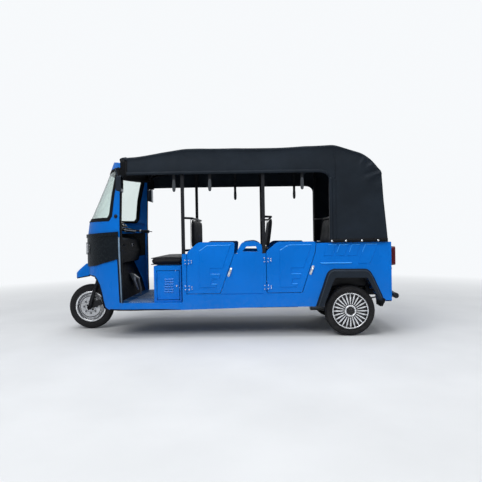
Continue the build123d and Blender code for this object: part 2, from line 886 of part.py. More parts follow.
bumper_radius = 30
bumper_x = 1736
bumper_z = 378
bumper_half = 480
bumper_end_radius = 27
bumper_end_length = 155
with BuildPart() as rear_bumper:
    with BuildSketch(side_plane(bumper_half)):
        with Locations((bumper_x, bumper_z)):
            Circle(bumper_end_radius)
    extrude(amount=2 * bumper_half)
    with BuildSketch(side_plane(bumper_half - bumper_end_length)):
        with Locations((bumper_x, bumper_z)):
            Circle(bumper_radius)
    extrude(amount=2 * (bumper_half - bumper_end_length))
    for bracket_y in (rail_y, -rail_y):
        with BuildSketch(Plane.YZ.offset(panel_rear_x + tail_sheet)):
            with Locations((bracket_y, bumper_z)):
                Rectangle(rail_width, 44)
        extrude(amount=bumper_x - panel_rear_x - tail_sheet)
rear_bumper.part.label = "rear_bumper"
export_step(rear_bumper.part, "parts/rear_bumper.step")

# Seats: sheet boxes with cushions, backrests on the roof tubes
seat_box_front_x = -694
seat_box_rear_x = -419
seat_box_half = body_half_width - 50
seat_box_top_z = 718
locker_front_x = -662
locker_length = 222
locker_low_z = 382
locker_height = 286
locker_hinge_x = locker_front_x - door_gap / 2
locker_hinge_zs = (430, 620)
with BuildPart() as driver_seat_box:
    with BuildSketch(Plane.XY.offset(floor_top_z)):
        with Locations(((seat_box_front_x + seat_box_rear_x) / 2, 0)):
            Rectangle(seat_box_rear_x - seat_box_front_x, 2 * seat_box_half)
    extrude(amount=seat_box_top_z - floor_top_z)
    with BuildSketch(Plane.XY.offset(floor_top_z)):
        with Locations(((seat_box_front_x + seat_box_rear_x) / 2, 0)):
            Rectangle(seat_box_rear_x - seat_box_front_x - 2 * sheet, 2 * (seat_box_half - sheet))
    extrude(amount=seat_box_top_z - floor_top_z - sheet, mode=Mode.SUBTRACT)
    with BuildSketch(side_plane(seat_box_half)):
        with Locations((locker_front_x - door_gap, locker_low_z - door_gap)):
            Rectangle(
                locker_length + 2 * door_gap,
                locker_height + 2 * door_gap,
                align=(Align.MIN, Align.MIN),
            )
    extrude(amount=2 * seat_box_half, mode=Mode.SUBTRACT)
    for hinge_z in locker_hinge_zs:
        half_hinge = fixed_hinge(locker_hinge_x, seat_box_half, hinge_z)
        add(half_hinge)
        add(mirror(half_hinge, about=Plane.XZ, mode=Mode.PRIVATE))
driver_seat_box.part.label = "driver_seat_box"
export_step(driver_seat_box.part, "parts/driver_seat_box.step")

# Louvred locker doors in both sides of the seat box
louvre_length = 88
louvre_height = 12
louvre_out = 6
louvre_slot = 4
louvre_mid_x = -543
louvre_zs = (454, 479, 504, 529, 554, 579)
lock_x = -465
lock_z = 519
for side in ("left", "right"):
    with BuildPart() as locker_door:
        with BuildSketch(side_plane(-seat_box_half + sheet)):
            with Locations((locker_front_x, locker_low_z)):
                Rectangle(locker_length, locker_height, align=(Align.MIN, Align.MIN))
            for slot_z in louvre_zs:
                with Locations((louvre_mid_x, slot_z)):
                    Rectangle(
                        louvre_length - louvre_height,
                        louvre_slot,
                        align=(Align.CENTER, Align.MAX),
                        mode=Mode.SUBTRACT,
                    )
        extrude(amount=sheet)
        for slot_z in louvre_zs:
            with BuildSketch(Plane.YZ.offset(louvre_mid_x - louvre_length / 2)):
                Polygon(
                    (-seat_box_half, slot_z + louvre_height),
                    (-seat_box_half, slot_z),
                    (-seat_box_half - louvre_out, slot_z - 1),
                    (-seat_box_half - louvre_out, slot_z + 1),
                    align=None,
                )
            extrude(amount=louvre_length)
        with BuildSketch(side_plane(-seat_box_half)):
            with Locations((lock_x, lock_z)):
                Circle(10)
        extrude(amount=5)
        for hinge_z in locker_hinge_zs:
            half_hinge = moving_hinge(locker_hinge_x, seat_box_half, hinge_z, hinge_leaf)
            add(mirror(half_hinge, about=Plane.XZ, mode=Mode.PRIVATE))
        if side == "right":
            mirror(about=Plane.XZ, mode=Mode.REPLACE)
    locker_door.part.label = "locker_door_" + side
    export_step(locker_door.part, "parts/locker_door_" + side + ".step")

cushion_radius = 20
driver_pad_length = 330
driver_pad_half = inner_y - 130
with BuildPart() as driver_cushion:
    with BuildSketch(Plane.XY.offset(seat_box_top_z)):
        with Locations((seat_box_rear_x - driver_pad_length / 2 - 3, 0)):
            RectangleRounded(driver_pad_length, 2 * driver_pad_half, 40)
    extrude(amount=84)
    fillet(driver_cushion.faces().sort_by(Axis.Z)[-1].edges(), cushion_radius)
driver_cushion.part.label = "driver_cushion"
export_step(driver_cushion.part, "parts/driver_cushion.step")

# Passenger benches: front x, rear x, half width of box, low z, half width of cushion
bench_top_z = 660
bench_rows = (
    (90, 400, inner_y - 40, floor_top_z, inner_y - 20),
    (790, 1100, house_y - 6, deck_low_z + sheet, inner_y - 20),
)
cushion_height = 90
with BuildPart() as bench_boxes:
    for front_x, rear_x, box_half, low_z, pad_width in bench_rows:
        with BuildSketch(Plane.XY.offset(low_z)):
            with Locations(((front_x + rear_x) / 2, 0)):
                Rectangle(rear_x - front_x, 2 * box_half)
                Rectangle(rear_x - front_x - 2 * sheet, 2 * (box_half - sheet), mode=Mode.SUBTRACT)
        extrude(amount=bench_top_z - low_z)
        with BuildSketch(Plane.XY.offset(bench_top_z - sheet)):
            with Locations(((front_x + rear_x) / 2, 0)):
                Rectangle(rear_x - front_x, 2 * box_half)
        extrude(amount=sheet)
bench_boxes.part.label = "bench_boxes"
export_step(bench_boxes.part, "parts/bench_boxes.step")

with BuildPart() as bench_cushions:
    for front_x, rear_x, box_half, low_z, pad_width in bench_rows:
        with BuildSketch(Plane.XY.offset(bench_top_z)):
            with Locations(((front_x + rear_x) / 2, 0)):
                RectangleRounded(rear_x - front_x, 2 * pad_width, 30)
        extrude(amount=cushion_height)
    fillet(bench_cushions.faces().sort_by(Axis.Z)[-2:].edges(), cushion_radius)
bench_cushions.part.label = "bench_cushions"
export_step(bench_cushions.part, "parts/bench_cushions.step")

with BuildPart() as battery_pack:
    with BuildSketch(Plane.XY.offset(floor_top_z)):
        with Locations((245, 0)):
            Rectangle(260, 2 * (inner_y - 130))
    extrude(amount=230)
battery_pack.part.label = "battery_pack"
export_step(battery_pack.part, "parts/battery_pack.step")

# Roof tubes: two rails along the roof line, poles from the side walls, crowned hoops
tube_out_y = canopy_half - canopy_shoulder
tube_in_y = tube_out_y - tube
rail_front_end_x = screen_top_rear_x
rail_foot_z = header_low_z - 12
rail_end_x = roof_line[-1][0] - canopy_sheet - touch_gap
rail_xs = [x for x, z in roof_line[1:-1]] + [rail_end_x]
with BuildPart() as roof_rails:
    with BuildSketch(side_plane(tube_out_y)):
        Polygon(
            (rail_front_end_x, rail_foot_z),
            (rail_front_end_x, tube_top_z(rail_front_end_x)),
            *((x, tube_top_z(x)) for x in rail_xs),
            *((x, tube_low_z(x)) for x in reversed(rail_xs)),
            (rail_front_end_x + tube, tube_low_z(rail_front_end_x + tube)),
            (rail_front_end_x + tube, rail_foot_z),
            align=None,
        )
    extrude(amount=tube)
    mirror(about=Plane.XZ)
roof_rails.part.label = "roof_rails"
export_step(roof_rails.part, "parts/roof_rails.step")

pole_rows = (
    (pole_1_x, belt_z),
    (pole_2_x, 830),
    (pole_3_x, quarter_top_z),
    (rail_end_x - tube / 2, quarter_top_z),
)
with BuildPart() as roof_poles:
    for pole_x, foot_z in pole_rows:
        with BuildSketch(side_plane(tube_out_y)):
            front_x = pole_x - tube / 2
            rear_x = pole_x + tube / 2
            Polygon(
                (front_x, foot_z),
                (rear_x, foot_z),
                (rear_x, tube_low_z(rear_x)),
                (front_x, tube_low_z(front_x)),
                align=None,
            )
        extrude(amount=tube)
    mirror(about=Plane.XZ)
roof_poles.part.label = "roof_poles"
export_step(roof_poles.part, "parts/roof_poles.step")

hoop_xs = (-900, -560, -220, 130, 480, 820, 1100, 1400)
hoop_crown = canopy_crown - 6
with BuildPart() as roof_hoops:
    for hoop_x in hoop_xs:
        end_z = min(tube_top_z(hoop_x - tube / 2), tube_top_z(hoop_x + tube / 2))
        low_z = end_z - tube
        with BuildSketch(Plane.YZ.offset(hoop_x - tube / 2)):
            with BuildLine():
                upper = ThreePointArc((-tube_in_y, end_z), (0, end_z + hoop_crown), (tube_in_y, end_z))
                lower = ThreePointArc((tube_in_y, low_z), (0, low_z + hoop_crown), (-tube_in_y, low_z))
                Line(upper @ 1, lower @ 0)
                Line(lower @ 1, upper @ 0)
            make_face()
        extrude(amount=tube)
roof_hoops.part.label = "roof_hoops"
export_step(roof_hoops.part, "parts/roof_hoops.step")


def canopy_block(inset, front_x, low_z):
    """The space under a skin that lies inset behind the canopy's outer face."""
    half = canopy_half - inset
    bend = canopy_shoulder - inset
    slant = bend * (1 - sqrt(0.5))
    stations = [(front_x, roof_z(front_x) - inset)]
    stations += [(x, z - inset) for x, z in roof_line[1:-1]]
    rear_x = roof_line[-1][0] - inset
    stations += [(rear_x, roof_z(rear_x) - inset)]
    with BuildPart() as block:
        for x, z in stations:
            with BuildSketch(Plane.YZ.offset(x)):
                with BuildLine():
                    left = Line((-half, low_z), (-half, z - bend))
                    corner = ThreePointArc(left @ 1, (-half + slant, z - slant), (-half + bend, z))
                    crown = ThreePointArc(corner @ 1, (0, z + canopy_crown), (half - bend, z))
                    turn = ThreePointArc(crown @ 1, (half - slant, z - slant), (half, z - bend))
                    right = Line(turn @ 1, (half, low_z))
                    Line(right @ 1, left @ 0)
                make_face()
        loft(ruled=True)
    return block.part


wall_rear_x = roof_line[-1][0]
wall_line = ((wall_rear_x, 1570), (1578, 1343), (1615, curtain_low_z))
window_half = 330
window_height = 260
window_z = 1430
with BuildPart() as canopy:
    add(canopy_block(0, roof_line[0][0], curtain_low_z))
    with BuildSketch(side_plane(canopy_half)):
        Polygon((wall_rear_x, curtain_low_z), *wall_line, align=None)
    extrude(amount=2 * canopy_half)
    with BuildSketch(side_plane(canopy_half - canopy_sheet)):
        Polygon(
            (wall_rear_x - 2 * canopy_sheet, curtain_low_z),
            (wall_rear_x - 2 * canopy_sheet, wall_line[0][1]),
            *((x - canopy_sheet, z) for x, z in wall_line),
            align=None,
        )
    extrude(amount=2 * (canopy_half - canopy_sheet), mode=Mode.SUBTRACT)
    add(canopy_block(canopy_sheet, roof_line[0][0] - 30, curtain_low_z - 50), mode=Mode.SUBTRACT)
    with BuildSketch(Plane.YZ.offset(wall_rear_x - 2 * canopy_sheet)):
        with Locations((0, window_z)):
            Rectangle(2 * window_half, window_height)
    extrude(amount=60, mode=Mode.SUBTRACT)
    with BuildSketch(side_plane(canopy_half + 10)):
        Polygon(
            (-1300, 900),
            (1050, 900),
            (1056, 1560),
            (1020, 1600),
            (966, 1611),
            (-381, valance_z),
            (-1300, valance_z),
            align=None,
        )
    extrude(amount=2 * canopy_half + 20, mode=Mode.SUBTRACT)
    with BuildSketch(Plane.XY.offset(900)):
        with BuildLine():
            lip = ThreePointArc((-950, -canopy_half - 5), (-1130, 0), (-950, canopy_half + 5))
            Polyline(lip @ 1, (1700, canopy_half + 5), (1700, -canopy_half - 5), lip @ 0)
        make_face()
    extrude(amount=1200, mode=Mode.INTERSECT)
canopy.part.label = "canopy"
export_step(canopy.part, "parts/canopy.step")

# Clear window in the rear wall of the canopy
window_sheet = 3
window_lean = (wall_line[1][0] - wall_line[0][0]) / (wall_line[1][1] - wall_line[0][1])
window_low_z = window_z - window_height / 2
window_high_z = window_z + window_height / 2
with BuildPart() as rear_window:
    with BuildSketch(side_plane(window_half)):
        window_low_x = wall_rear_x - canopy_sheet / 2 + window_lean * (window_low_z - wall_line[0][1])
        window_high_x = wall_rear_x - canopy_sheet / 2 + window_lean * (window_high_z - wall_line[0][1])
        Polygon(
            (window_low_x, window_low_z),
            (window_low_x - window_sheet, window_low_z),
            (window_high_x - window_sheet, window_high_z),
            (window_high_x, window_high_z),
            align=None,
        )
    extrude(amount=2 * window_half)
rear_window.part.label = "rear_window"
export_step(rear_window.part, "parts/rear_window.step")

# Backrests between two bowed tubes: pole x and foot, setback of the pad low and high, half width
rest_low_z = 880
rest_high_z = 1184
rest_depth = 44
rest_tube_radius = 11
rest_rows = (
    (pole_1_x, belt_z, 70, 70, inner_y - 150),
    (pole_2_x, 830, 42, 82, inner_y - 110),
    (pole_3_x, quarter_top_z, 42, 82, inner_y - 110),
)
with BuildPart() as backrests:
    for pole_x, foot_z, low_back, high_back, half in rest_rows:
        with BuildSketch(side_plane(half)):
            Polygon(
                (pole_x + low_back - rest_depth / 2, rest_low_z),
                (pole_x + low_back + rest_depth / 2, rest_low_z),
                (pole_x + high_back + rest_depth / 2, rest_high_z),
                (pole_x + high_back - rest_depth / 2, rest_high_z),
                align=None,
            )
        extrude(amount=2 * half)
backrests.part.label = "backrests"
export_step(backrests.part, "parts/backrests.step")

with BuildPart() as backrest_tubes:
    for pole_x, foot_z, low_back, high_back, half in rest_rows:
        for back, z in (
            (low_back, rest_low_z - touch_gap - rest_tube_radius),
            (high_back, rest_high_z + touch_gap + rest_tube_radius),
        ):
            end_y = tube_in_y if z > foot_z else inner_y
            with BuildLine() as bow:
                FilletPolyline(
                    (pole_x, -end_y, z),
                    (pole_x, 35 - end_y, z),
                    (pole_x + back, 35 - half, z),
                    (pole_x + back, half - 35, z),
                    (pole_x, end_y - 35, z),
                    (pole_x, end_y, z),
                    radius=28,
                )
            with BuildSketch(Plane(origin=bow.line @ 0, z_dir=bow.line % 0)):
                Circle(rest_tube_radius)
            sweep(path=bow.line)
backrest_tubes.part.label = "backrest_tubes"
export_step(backrest_tubes.part, "parts/backrest_tubes.step")

# Hanging grab straps: x of each and the side it hangs on
strap_width = 30
strap_sheet = 4
strap_low_z = 1470
strap_rows = ((-471, 1), (-115, 1), (796, 1), (92, -1), (821, -1))
with BuildPart() as hanging_straps:
    for strap_x, near in strap_rows:
        front_x = strap_x - strap_width / 2
        rear_x = strap_x + strap_width / 2
        with BuildSketch(side_plane(-near * (tube_out_y - tube / 2) + strap_sheet / 2)):
            Polygon(
                (front_x, strap_low_z),
                (rear_x, strap_low_z),
                (rear_x, tube_low_z(rear_x)),
                (front_x, tube_low_z(front_x)),
                align=None,
            )
        extrude(amount=strap_sheet)
        with BuildSketch(Plane.XY.offset(strap_low_z - 20)):
            with Locations((strap_x, -near * (tube_out_y - tube / 2))):
                RectangleRounded(38, 22, 8)
        extrude(amount=150)
hanging_straps.part.label = "hanging_straps"
export_step(hanging_straps.part, "parts/hanging_straps.step")

# Mirrors on arms from the pillars
with BuildPart() as mirrors:
    with BuildSketch(Plane.YZ.offset(-962)):
        with Locations((canopy_half + 50, 1531)):
            RectangleRounded(96, 166, 24)
    extrude(amount=-53, taper=18)
    with BuildLine() as arm_path:
        FilletPolyline(
            (-1005, inner_y, 1692),
            (-1035, canopy_half + 30, 1686),
            (-1000, canopy_half + 50, 1590),
            radius=18,
        )
    with BuildSketch(Plane(origin=arm_path.line @ 0, z_dir=arm_path.line % 0)):
        Circle(7)
    sweep(path=arm_path.line)
    add(cab_frame.part, mode=Mode.SUBTRACT)
    mirror(about=Plane.XZ)
mirrors.part.label = "mirrors"
export_step(mirrors.part, "parts/mirrors.step")

with BuildPart() as brake_pedal:
    with BuildSketch(side_plane(126)):
        Polygon(
            (-1062, 585),
            (-1010, 535),
            (-985, 430),
            (-985, floor_top_z),
            (-1000, floor_top_z),
            (-1000, 430),
            (-1022, 527),
            (-1070, 575),
            align=None,
        )
    extrude(amount=12)
    with BuildSketch(side_plane(150)):
        Polygon((-1067, 590), (-1007, 540), (-1012, 533), (-1072, 583), align=None)
    extrude(amount=60)
brake_pedal.part.label = "brake_pedal"
export_step(brake_pedal.part, "parts/brake_pedal.step")

# Steering: fork, crown and steering tube turn in the head tube, with the bar on top
caliper_ring = 120
caliper_angle = 19
lug_in_y = -66
lug_sheet = 9
leg_x = -axis_lead * cos(radians(rake))
crown_low = 332
crown_high = head_low - touch_gap
stem_high = 895
with BuildPart() as fork:
    with BuildSketch(steering_plane(-35)):
        with Locations((leg_x, fork_half), (leg_x, -fork_half)):
            Circle(22)
    extrude(amount=230)
    with BuildSketch(steering_plane(-35)):
        with Locations((leg_x, fork_half), (leg_x, -fork_half)):
            Circle(17)
    extrude(amount=crown_low + 40)
    with BuildSketch(steering_plane(crown_low)):
        with Locations((leg_x / 2, 0)):
            RectangleRounded(90, 2 * fork_half + 50, 20)
    extrude(amount=crown_high - crown_low)
    with BuildSketch(steering_plane(crown_low)):
        Circle(steer_tube_radius)
    extrude(amount=stem_high - crown_low)
    with BuildSketch(steering_plane(head_high + touch_gap)):
        Circle(head_radius - 3)
    extrude(amount=16)
    with BuildSketch(side_plane(fork_half + 32)):
        with Locations((front_axle_x, tyre_radius)):
            Circle(front_spindle_radius)
    extrude(amount=2 * (fork_half + 32))
    with BuildSketch(side_plane(lug_in_y)):
        with Locations((front_axle_x, tyre_radius)):
            with PolarLocations(0, 1, start_angle=caliper_angle):
                Polygon((15, 58), (caliper_ring + 20, 34), (caliper_ring + 20, -18), (30, -26), (8, 0), align=None)
    extrude(amount=lug_sheet)
fork.part.label = "fork"
export_step(fork.part, "parts/fork.step")

bar_radius = 11
bar_z = 1120
bar_points = (
    (-930, -330, 1075),
    (-1080, -330, 1090),
    (steering_x(bar_z), -110, bar_z),
    (steering_x(bar_z), 110, bar_z),
    (-1080, 330, 1090),
    (-930, 330, 1075),
)
with BuildPart() as handlebar:
    with BuildLine() as bar_path:
        FilletPolyline(*bar_points, radius=60)
    with BuildSketch(Plane(origin=bar_path.line @ 0, z_dir=bar_path.line % 0)):
        Circle(bar_radius)
    sweep(path=bar_path.line)
    with BuildSketch(steering_plane(stem_high)):
        Circle(28)
    extrude(amount=24)
handlebar.part.label = "handlebar"
export_step(handlebar.part, "parts/handlebar.step")

grip_radius = 17
grip_length = 95
with BuildPart() as grips:
    for end, along in ((bar_points[0], bar_path.line % 0), (bar_points[-1], -(bar_path.line % 1))):
        with BuildSketch(Plane(origin=end, z_dir=along)):
            Circle(grip_radius)
            Circle(bar_radius + touch_gap, mode=Mode.SUBTRACT)
        extrude(amount=grip_length)
grips.part.label = "grips"
export_step(grips.part, "parts/grips.step")

# Instrument pod on the middle of the bar, its face raised towards the driver
pod_half = 105
pod_low_z = bar_z + bar_radius + touch_gap
with BuildPart() as instrument_pod:
    with BuildSketch(side_plane(pod_half)):
        with BuildLine():
            base = Line((-1262, pod_low_z), (-1118, pod_low_z))
            face = Line(base @ 1, (-1190, pod_low_z + 62))
            brow = Line(face @ 1, (-1236, pod_low_z + 66))
            ThreePointArc(brow @ 1, (-1270, pod_low_z + 38), base @ 0)
        make_face()
    extrude(amount=2 * pod_half)
    fillet(instrument_pod.edges().group_by(Axis.Y)[0] + instrument_pod.edges().group_by(Axis.Y)[-1], 14)
instrument_pod.part.label = "instrument_pod"
export_step(instrument_pod.part, "parts/instrument_pod.step")

# Brake levers on perches ahead of the grips
perch_radius = 19
perch_length = 16
lever_radius = 5
lever_x = bar_points[-1][0] - grip_length - perch_length / 2
lever_y = bar_points[-1][1]
bar_end_axis = -(bar_path.line % 1)
with BuildPart() as levers:
    with BuildSketch(Plane(origin=Vector(*bar_points[-1]) + bar_end_axis * grip_length, z_dir=bar_end_axis)):
        Circle(perch_radius)
        Circle(bar_radius + touch_gap, mode=Mode.SUBTRACT)
    extrude(amount=perch_length)
    with BuildLine() as lever_path:
        FilletPolyline(
            (lever_x, lever_y + 16, 1085),
            (lever_x + 8, lever_y + 54, 1085),
            (lever_x + 125, lever_y + 62, 1075),
            radius=16,
        )
    with BuildSketch(Plane(origin=lever_path.line @ 0, z_dir=lever_path.line % 0)):
        Circle(lever_radius)
    sweep(path=lever_path.line)
    mirror(about=Plane.XZ)
levers.part.label = "levers"
export_step(levers.part, "parts/levers.step")


def wheel_plane(x, y):
    """A plane through a wheel's axle: its own x is +Y and its own y is up from the axle."""
    return Plane(origin=(x, y, tyre_radius), x_dir=(0, 1, 0), z_dir=(1, 0, 0))


bead_inset = 14
bead_height = 12
flange = 7


def tyre(x, y, width):
    """A tyre as a ring on its bead seat."""
    half = width / 2
    bead = half - bead_inset
    low = bead_radius + bead_gap
    bulge_z = (low + tyre_radius) / 2 + 4
    with BuildPart() as ring:
        with BuildSketch(wheel_plane(x, y)):
            with BuildLine():
                seat = Line((-bead, low), (bead, low))
                toe = Line(seat @ 1, (bead, low + bead_height))
                right = ThreePointArc(toe @ 1, (half, bulge_z), (half - 12, tyre_radius - 9))
                crown = ThreePointArc(right @ 1, (0, tyre_radius), (12 - half, tyre_radius - 9))
                left = ThreePointArc(crown @ 1, (-half, bulge_z), (-bead, low + bead_height))
                Line(left @ 1, seat @ 0)
            make_face()
        revolve(axis=Axis((x, y, tyre_radius), (0, 1, 0)))
    return ring.part


with BuildPart() as front_tyre:
    add(tyre(front_axle_x, 0, front_tyre_width))
front_tyre.part.label = "front_tyre"
export_step(front_tyre.part, "parts/front_tyre.step")

hub_half = 55
disc_seat_y = -46
disc_sheet = 4
disc_bore = 34
disc_radius = 125
front_bead = front_tyre_width / 2 - bead_inset
lip_z = bead_radius + bead_gap + bead_height - 1
with BuildPart() as front_rim:
    with BuildSketch(wheel_plane(front_axle_x, 0)):
        Polygon(
            (-hub_half, front_spindle_radius + running_gap),
            (hub_half, front_spindle_radius + running_gap),
            (hub_half, 30),
            (20, 46),
            (12, 60),
            (5, 110),
            (18, 158),
            (front_bead + flange, 160),
            (front_bead + flange, lip_z),
            (front_bead + touch_gap, lip_z),
            (front_bead + touch_gap, bead_radius),
            (-front_bead - touch_gap, bead_radius),
            (-front_bead - touch_gap, lip_z),
            (-front_bead - flange, lip_z),
            (-front_bead - flange, 160),
            (6, 158),
            (-5, 110),
            (0, 60),
            (disc_seat_y, 46),
            (disc_seat_y, disc_bore - touch_gap),
            (-hub_half, disc_bore - touch_gap),
            align=None,
        )
    revolve(axis=Axis((front_axle_x, 0, tyre_radius), (0, 1, 0)))
    with BuildSketch(side_plane(hub_half)):
        with Locations((front_axle_x, tyre_radius)):
            with PolarLocations(128, 10):
                Circle(12)
    extrude(amount=2 * hub_half, mode=Mode.SUBTRACT)
front_rim.part.label = "front_rim"
export_step(front_rim.part, "parts/front_rim.step")

# Brake disc against the hub's shoulder, with a ring of lightening holes
with BuildPart() as brake_disc:
    with BuildSketch(side_plane(disc_seat_y)):
        with Locations((front_axle_x, tyre_radius)):
            Circle(disc_radius)
            Circle(disc_bore, mode=Mode.SUBTRACT)
            with PolarLocations(74, 8):
                Circle(11, mode=Mode.SUBTRACT)
    extrude(amount=disc_sheet)
brake_disc.part.label = "brake_disc"
export_step(brake_disc.part, "parts/brake_disc.step")

# Brake caliper: jaws on both sides of the disc, bolted to the lug of the left fork leg
jaw_gap = 5
caliper_in_y = -32
with BuildPart() as brake_caliper:
    with BuildSketch(side_plane(caliper_in_y)):
        with Locations((front_axle_x, tyre_radius)):
            with PolarLocations(caliper_ring, 1, start_angle=caliper_angle):
                RectangleRounded(54, 80, 14)
    extrude(amount=caliper_in_y - lug_in_y)
    with BuildSketch(side_plane(disc_seat_y + jaw_gap)):
        with Locations((front_axle_x, tyre_radius)):
            Circle(disc_radius + jaw_gap)
    extrude(amount=disc_sheet + 2 * jaw_gap, mode=Mode.SUBTRACT)
brake_caliper.part.label = "brake_caliper"
export_step(brake_caliper.part, "parts/brake_caliper.step")

rear_wheel_y = rear_track / 2
rear_bead = rear_tyre_width / 2 - bead_inset
trim_face = rear_bead + flange
trim_sheet = 6
for side in ("left", "right"):
    with BuildPart() as rear_tyre:
        add(tyre(rear_axle_x, rear_wheel_y, rear_tyre_width))
        if side == "left":
            mirror(about=Plane.XZ, mode=Mode.REPLACE)
    rear_tyre.part.label = "rear_tyre_" + side
    export_step(rear_tyre.part, "parts/rear_tyre_" + side + ".step")

    with BuildPart() as rear_rim:
        with BuildSketch(wheel_plane(rear_axle_x, rear_wheel_y)):
            Polygon(
                (-68, rear_spindle_radius + running_gap),
                (26, rear_spindle_radius + running_gap),
                (26, 38),
                (30, 60),
                (34, 158),
                (trim_face, 162),
                (trim_face, lip_z),
                (rear_bead + touch_gap, lip_z),
                (rear_bead + touch_gap, bead_radius),
                (-rear_bead - touch_gap, bead_radius),
                (-rear_bead - touch_gap, lip_z),
                (-trim_face, lip_z),
                (-trim_face, 162),
                (20, 160),
                (20, 112),
                (-64, 108),
                (-68, 100),
                align=None,
            )
        revolve(axis=Axis((rear_axle_x, rear_wheel_y, tyre_radius), (0, 1, 0)))
        if side == "left":
            mirror(about=Plane.XZ, mode=Mode.REPLACE)
    rear_rim.part.label = "rear_rim_" + side
    export_step(rear_rim.part, "parts/rear_rim_" + side + ".step")

    with BuildPart() as rear_trim:
        with BuildSketch(side_plane(rear_wheel_y + trim_face + trim_sheet)):
            with Locations((rear_axle_x, tyre_radius)):
                Circle(182)
                Circle(170, mode=Mode.SUBTRACT)
                with PolarLocations(0, trim_spokes):
                    Polygon(
                        (52, 3),
                        (52, -3),
                        (90, -5),
                        (135, -7),
                        (172, -2),
                        (172, 2),
                        (135, 7),
                        (90, 5),
                        align=None,
                    )
                Circle(58)
        extrude(amount=trim_sheet)
        with BuildSketch(side_plane(rear_wheel_y + trim_face)):
            with Locations((rear_axle_x, tyre_radius)):
                Circle(36)
        extrude(amount=trim_face - 30)
        if side == "left":
            mirror(about=Plane.XZ, mode=Mode.REPLACE)
    rear_trim.part.label = "rear_trim_" + side
    export_step(rear_trim.part, "parts/rear_trim_" + side + ".step")

# Raised field of the front door's skin, notched twice from the rear; the rear door repeats it
door_press = (
    (-237, 500),
    (-231, 862),
    (-151, 914),
    (82, 916),
    (0, 690),
    (-122, 690),
    (-128, 632),
    (-22, 632),
    (-39, 585),
    (-104, 585),
    (-120, 534),
    (-58, 534),
    (-70, 500),
)
# Place of the door, and shift of its raised field in x and z
door_places = (("front", 0, 0), ("rear", 796, -7))
for place, press_x, press_z in door_places:
    hinge_x, hinge_zs = hinge_rows[place]
    for side in ("left", "right"):
        with BuildPart() as door:
            with BuildSketch(side_plane(door_depth - body_half_width)):
                add(door_shapes[place])
            extrude(amount=door_depth)
            with BuildSketch(side_plane(-body_half_width)):
                Polygon(*((x + press_x, z + press_z) for x, z in door_press), align=None)
            extrude(amount=press_out, taper=press_taper)
            for hinge_z in hinge_zs:
                half_hinge = moving_hinge(hinge_x, body_half_width, hinge_z, long_leaf)
                add(mirror(half_hinge, about=Plane.XZ, mode=Mode.PRIVATE))
            if side == "right":
                mirror(about=Plane.XZ, mode=Mode.REPLACE)
        door.part.label = "door_" + place + "_" + side
        export_step(door.part, "parts/door_" + place + "_" + side + ".step")

# Latch handles beside the doors' rear edges: arched levers on rounded plates
latch_lean = 20
latch_half = 42
latch_height = 24
latch_plate = 4
lever_width = 14
latch_spots = ((69, 650), (874, 658))
with BuildPart() as door_latches:
    for latch_x, latch_z in latch_spots:
        lean = radians(latch_lean)
        with BuildSketch(side_plane(-body_half_width)):
            with Locations(Location((latch_x, latch_z, 0), (0, 0, 90 - latch_lean))):
                SlotOverall(2 * latch_half + 12, lever_width + 8)
        extrude(amount=latch_plate)
        arch_plane = Plane(
            origin=(latch_x, -body_half_width - latch_plate, latch_z),
            x_dir=(sin(lean), 0, cos(lean)),
            z_dir=(cos(lean), 0, -sin(lean)),
        )
        with BuildSketch(arch_plane):
            with BuildLine():
                outer = ThreePointArc((-latch_half, 0), (0, latch_height - latch_plate), (latch_half, 0))
                inner = ThreePointArc((latch_half - 14, 0), (0, latch_height / 2), (14 - latch_half, 0))
                Line(outer @ 1, inner @ 0)
                Line(inner @ 1, outer @ 0)
            make_face()
        extrude(amount=lever_width / 2, both=True)
    mirror(about=Plane.XZ)
door_latches.part.label = "door_latches"
export_step(door_latches.part, "parts/door_latches.step")
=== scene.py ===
"""Looks of the electric passenger tricycle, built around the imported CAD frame.

Metres, in the CAD's own frame: +X to the rear, +Y to the vehicle's right, +Z up.
"""

import json
import math
import random

import bmesh
import bpy
from mathutils import Matrix, Vector, noise


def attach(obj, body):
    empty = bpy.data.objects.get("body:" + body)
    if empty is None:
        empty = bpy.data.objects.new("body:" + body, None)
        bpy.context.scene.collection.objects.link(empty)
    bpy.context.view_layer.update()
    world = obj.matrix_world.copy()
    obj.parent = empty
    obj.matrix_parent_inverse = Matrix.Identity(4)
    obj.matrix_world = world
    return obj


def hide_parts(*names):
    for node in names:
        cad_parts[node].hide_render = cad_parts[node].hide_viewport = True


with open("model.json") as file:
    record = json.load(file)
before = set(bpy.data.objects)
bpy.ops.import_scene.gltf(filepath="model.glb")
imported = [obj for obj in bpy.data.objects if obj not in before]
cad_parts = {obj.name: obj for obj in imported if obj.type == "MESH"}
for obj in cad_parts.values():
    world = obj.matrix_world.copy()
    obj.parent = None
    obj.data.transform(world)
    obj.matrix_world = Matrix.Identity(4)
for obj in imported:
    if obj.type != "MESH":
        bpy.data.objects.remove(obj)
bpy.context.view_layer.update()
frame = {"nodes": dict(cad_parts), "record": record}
nodes = frame["nodes"]
scene = bpy.context.scene
random.seed(7)
SIDES = ((-1, "left"), (1, "right"))

# Camera, light and floor
CAM_PLACE = Vector((0.307, -5.2934, 1.0036))
CAM_YAW = math.radians(-1.4906)
CAM_PITCH = math.radians(0.5944)
CAM_ROLL = math.radians(-0.9956)
CAM_LENS = 35.48

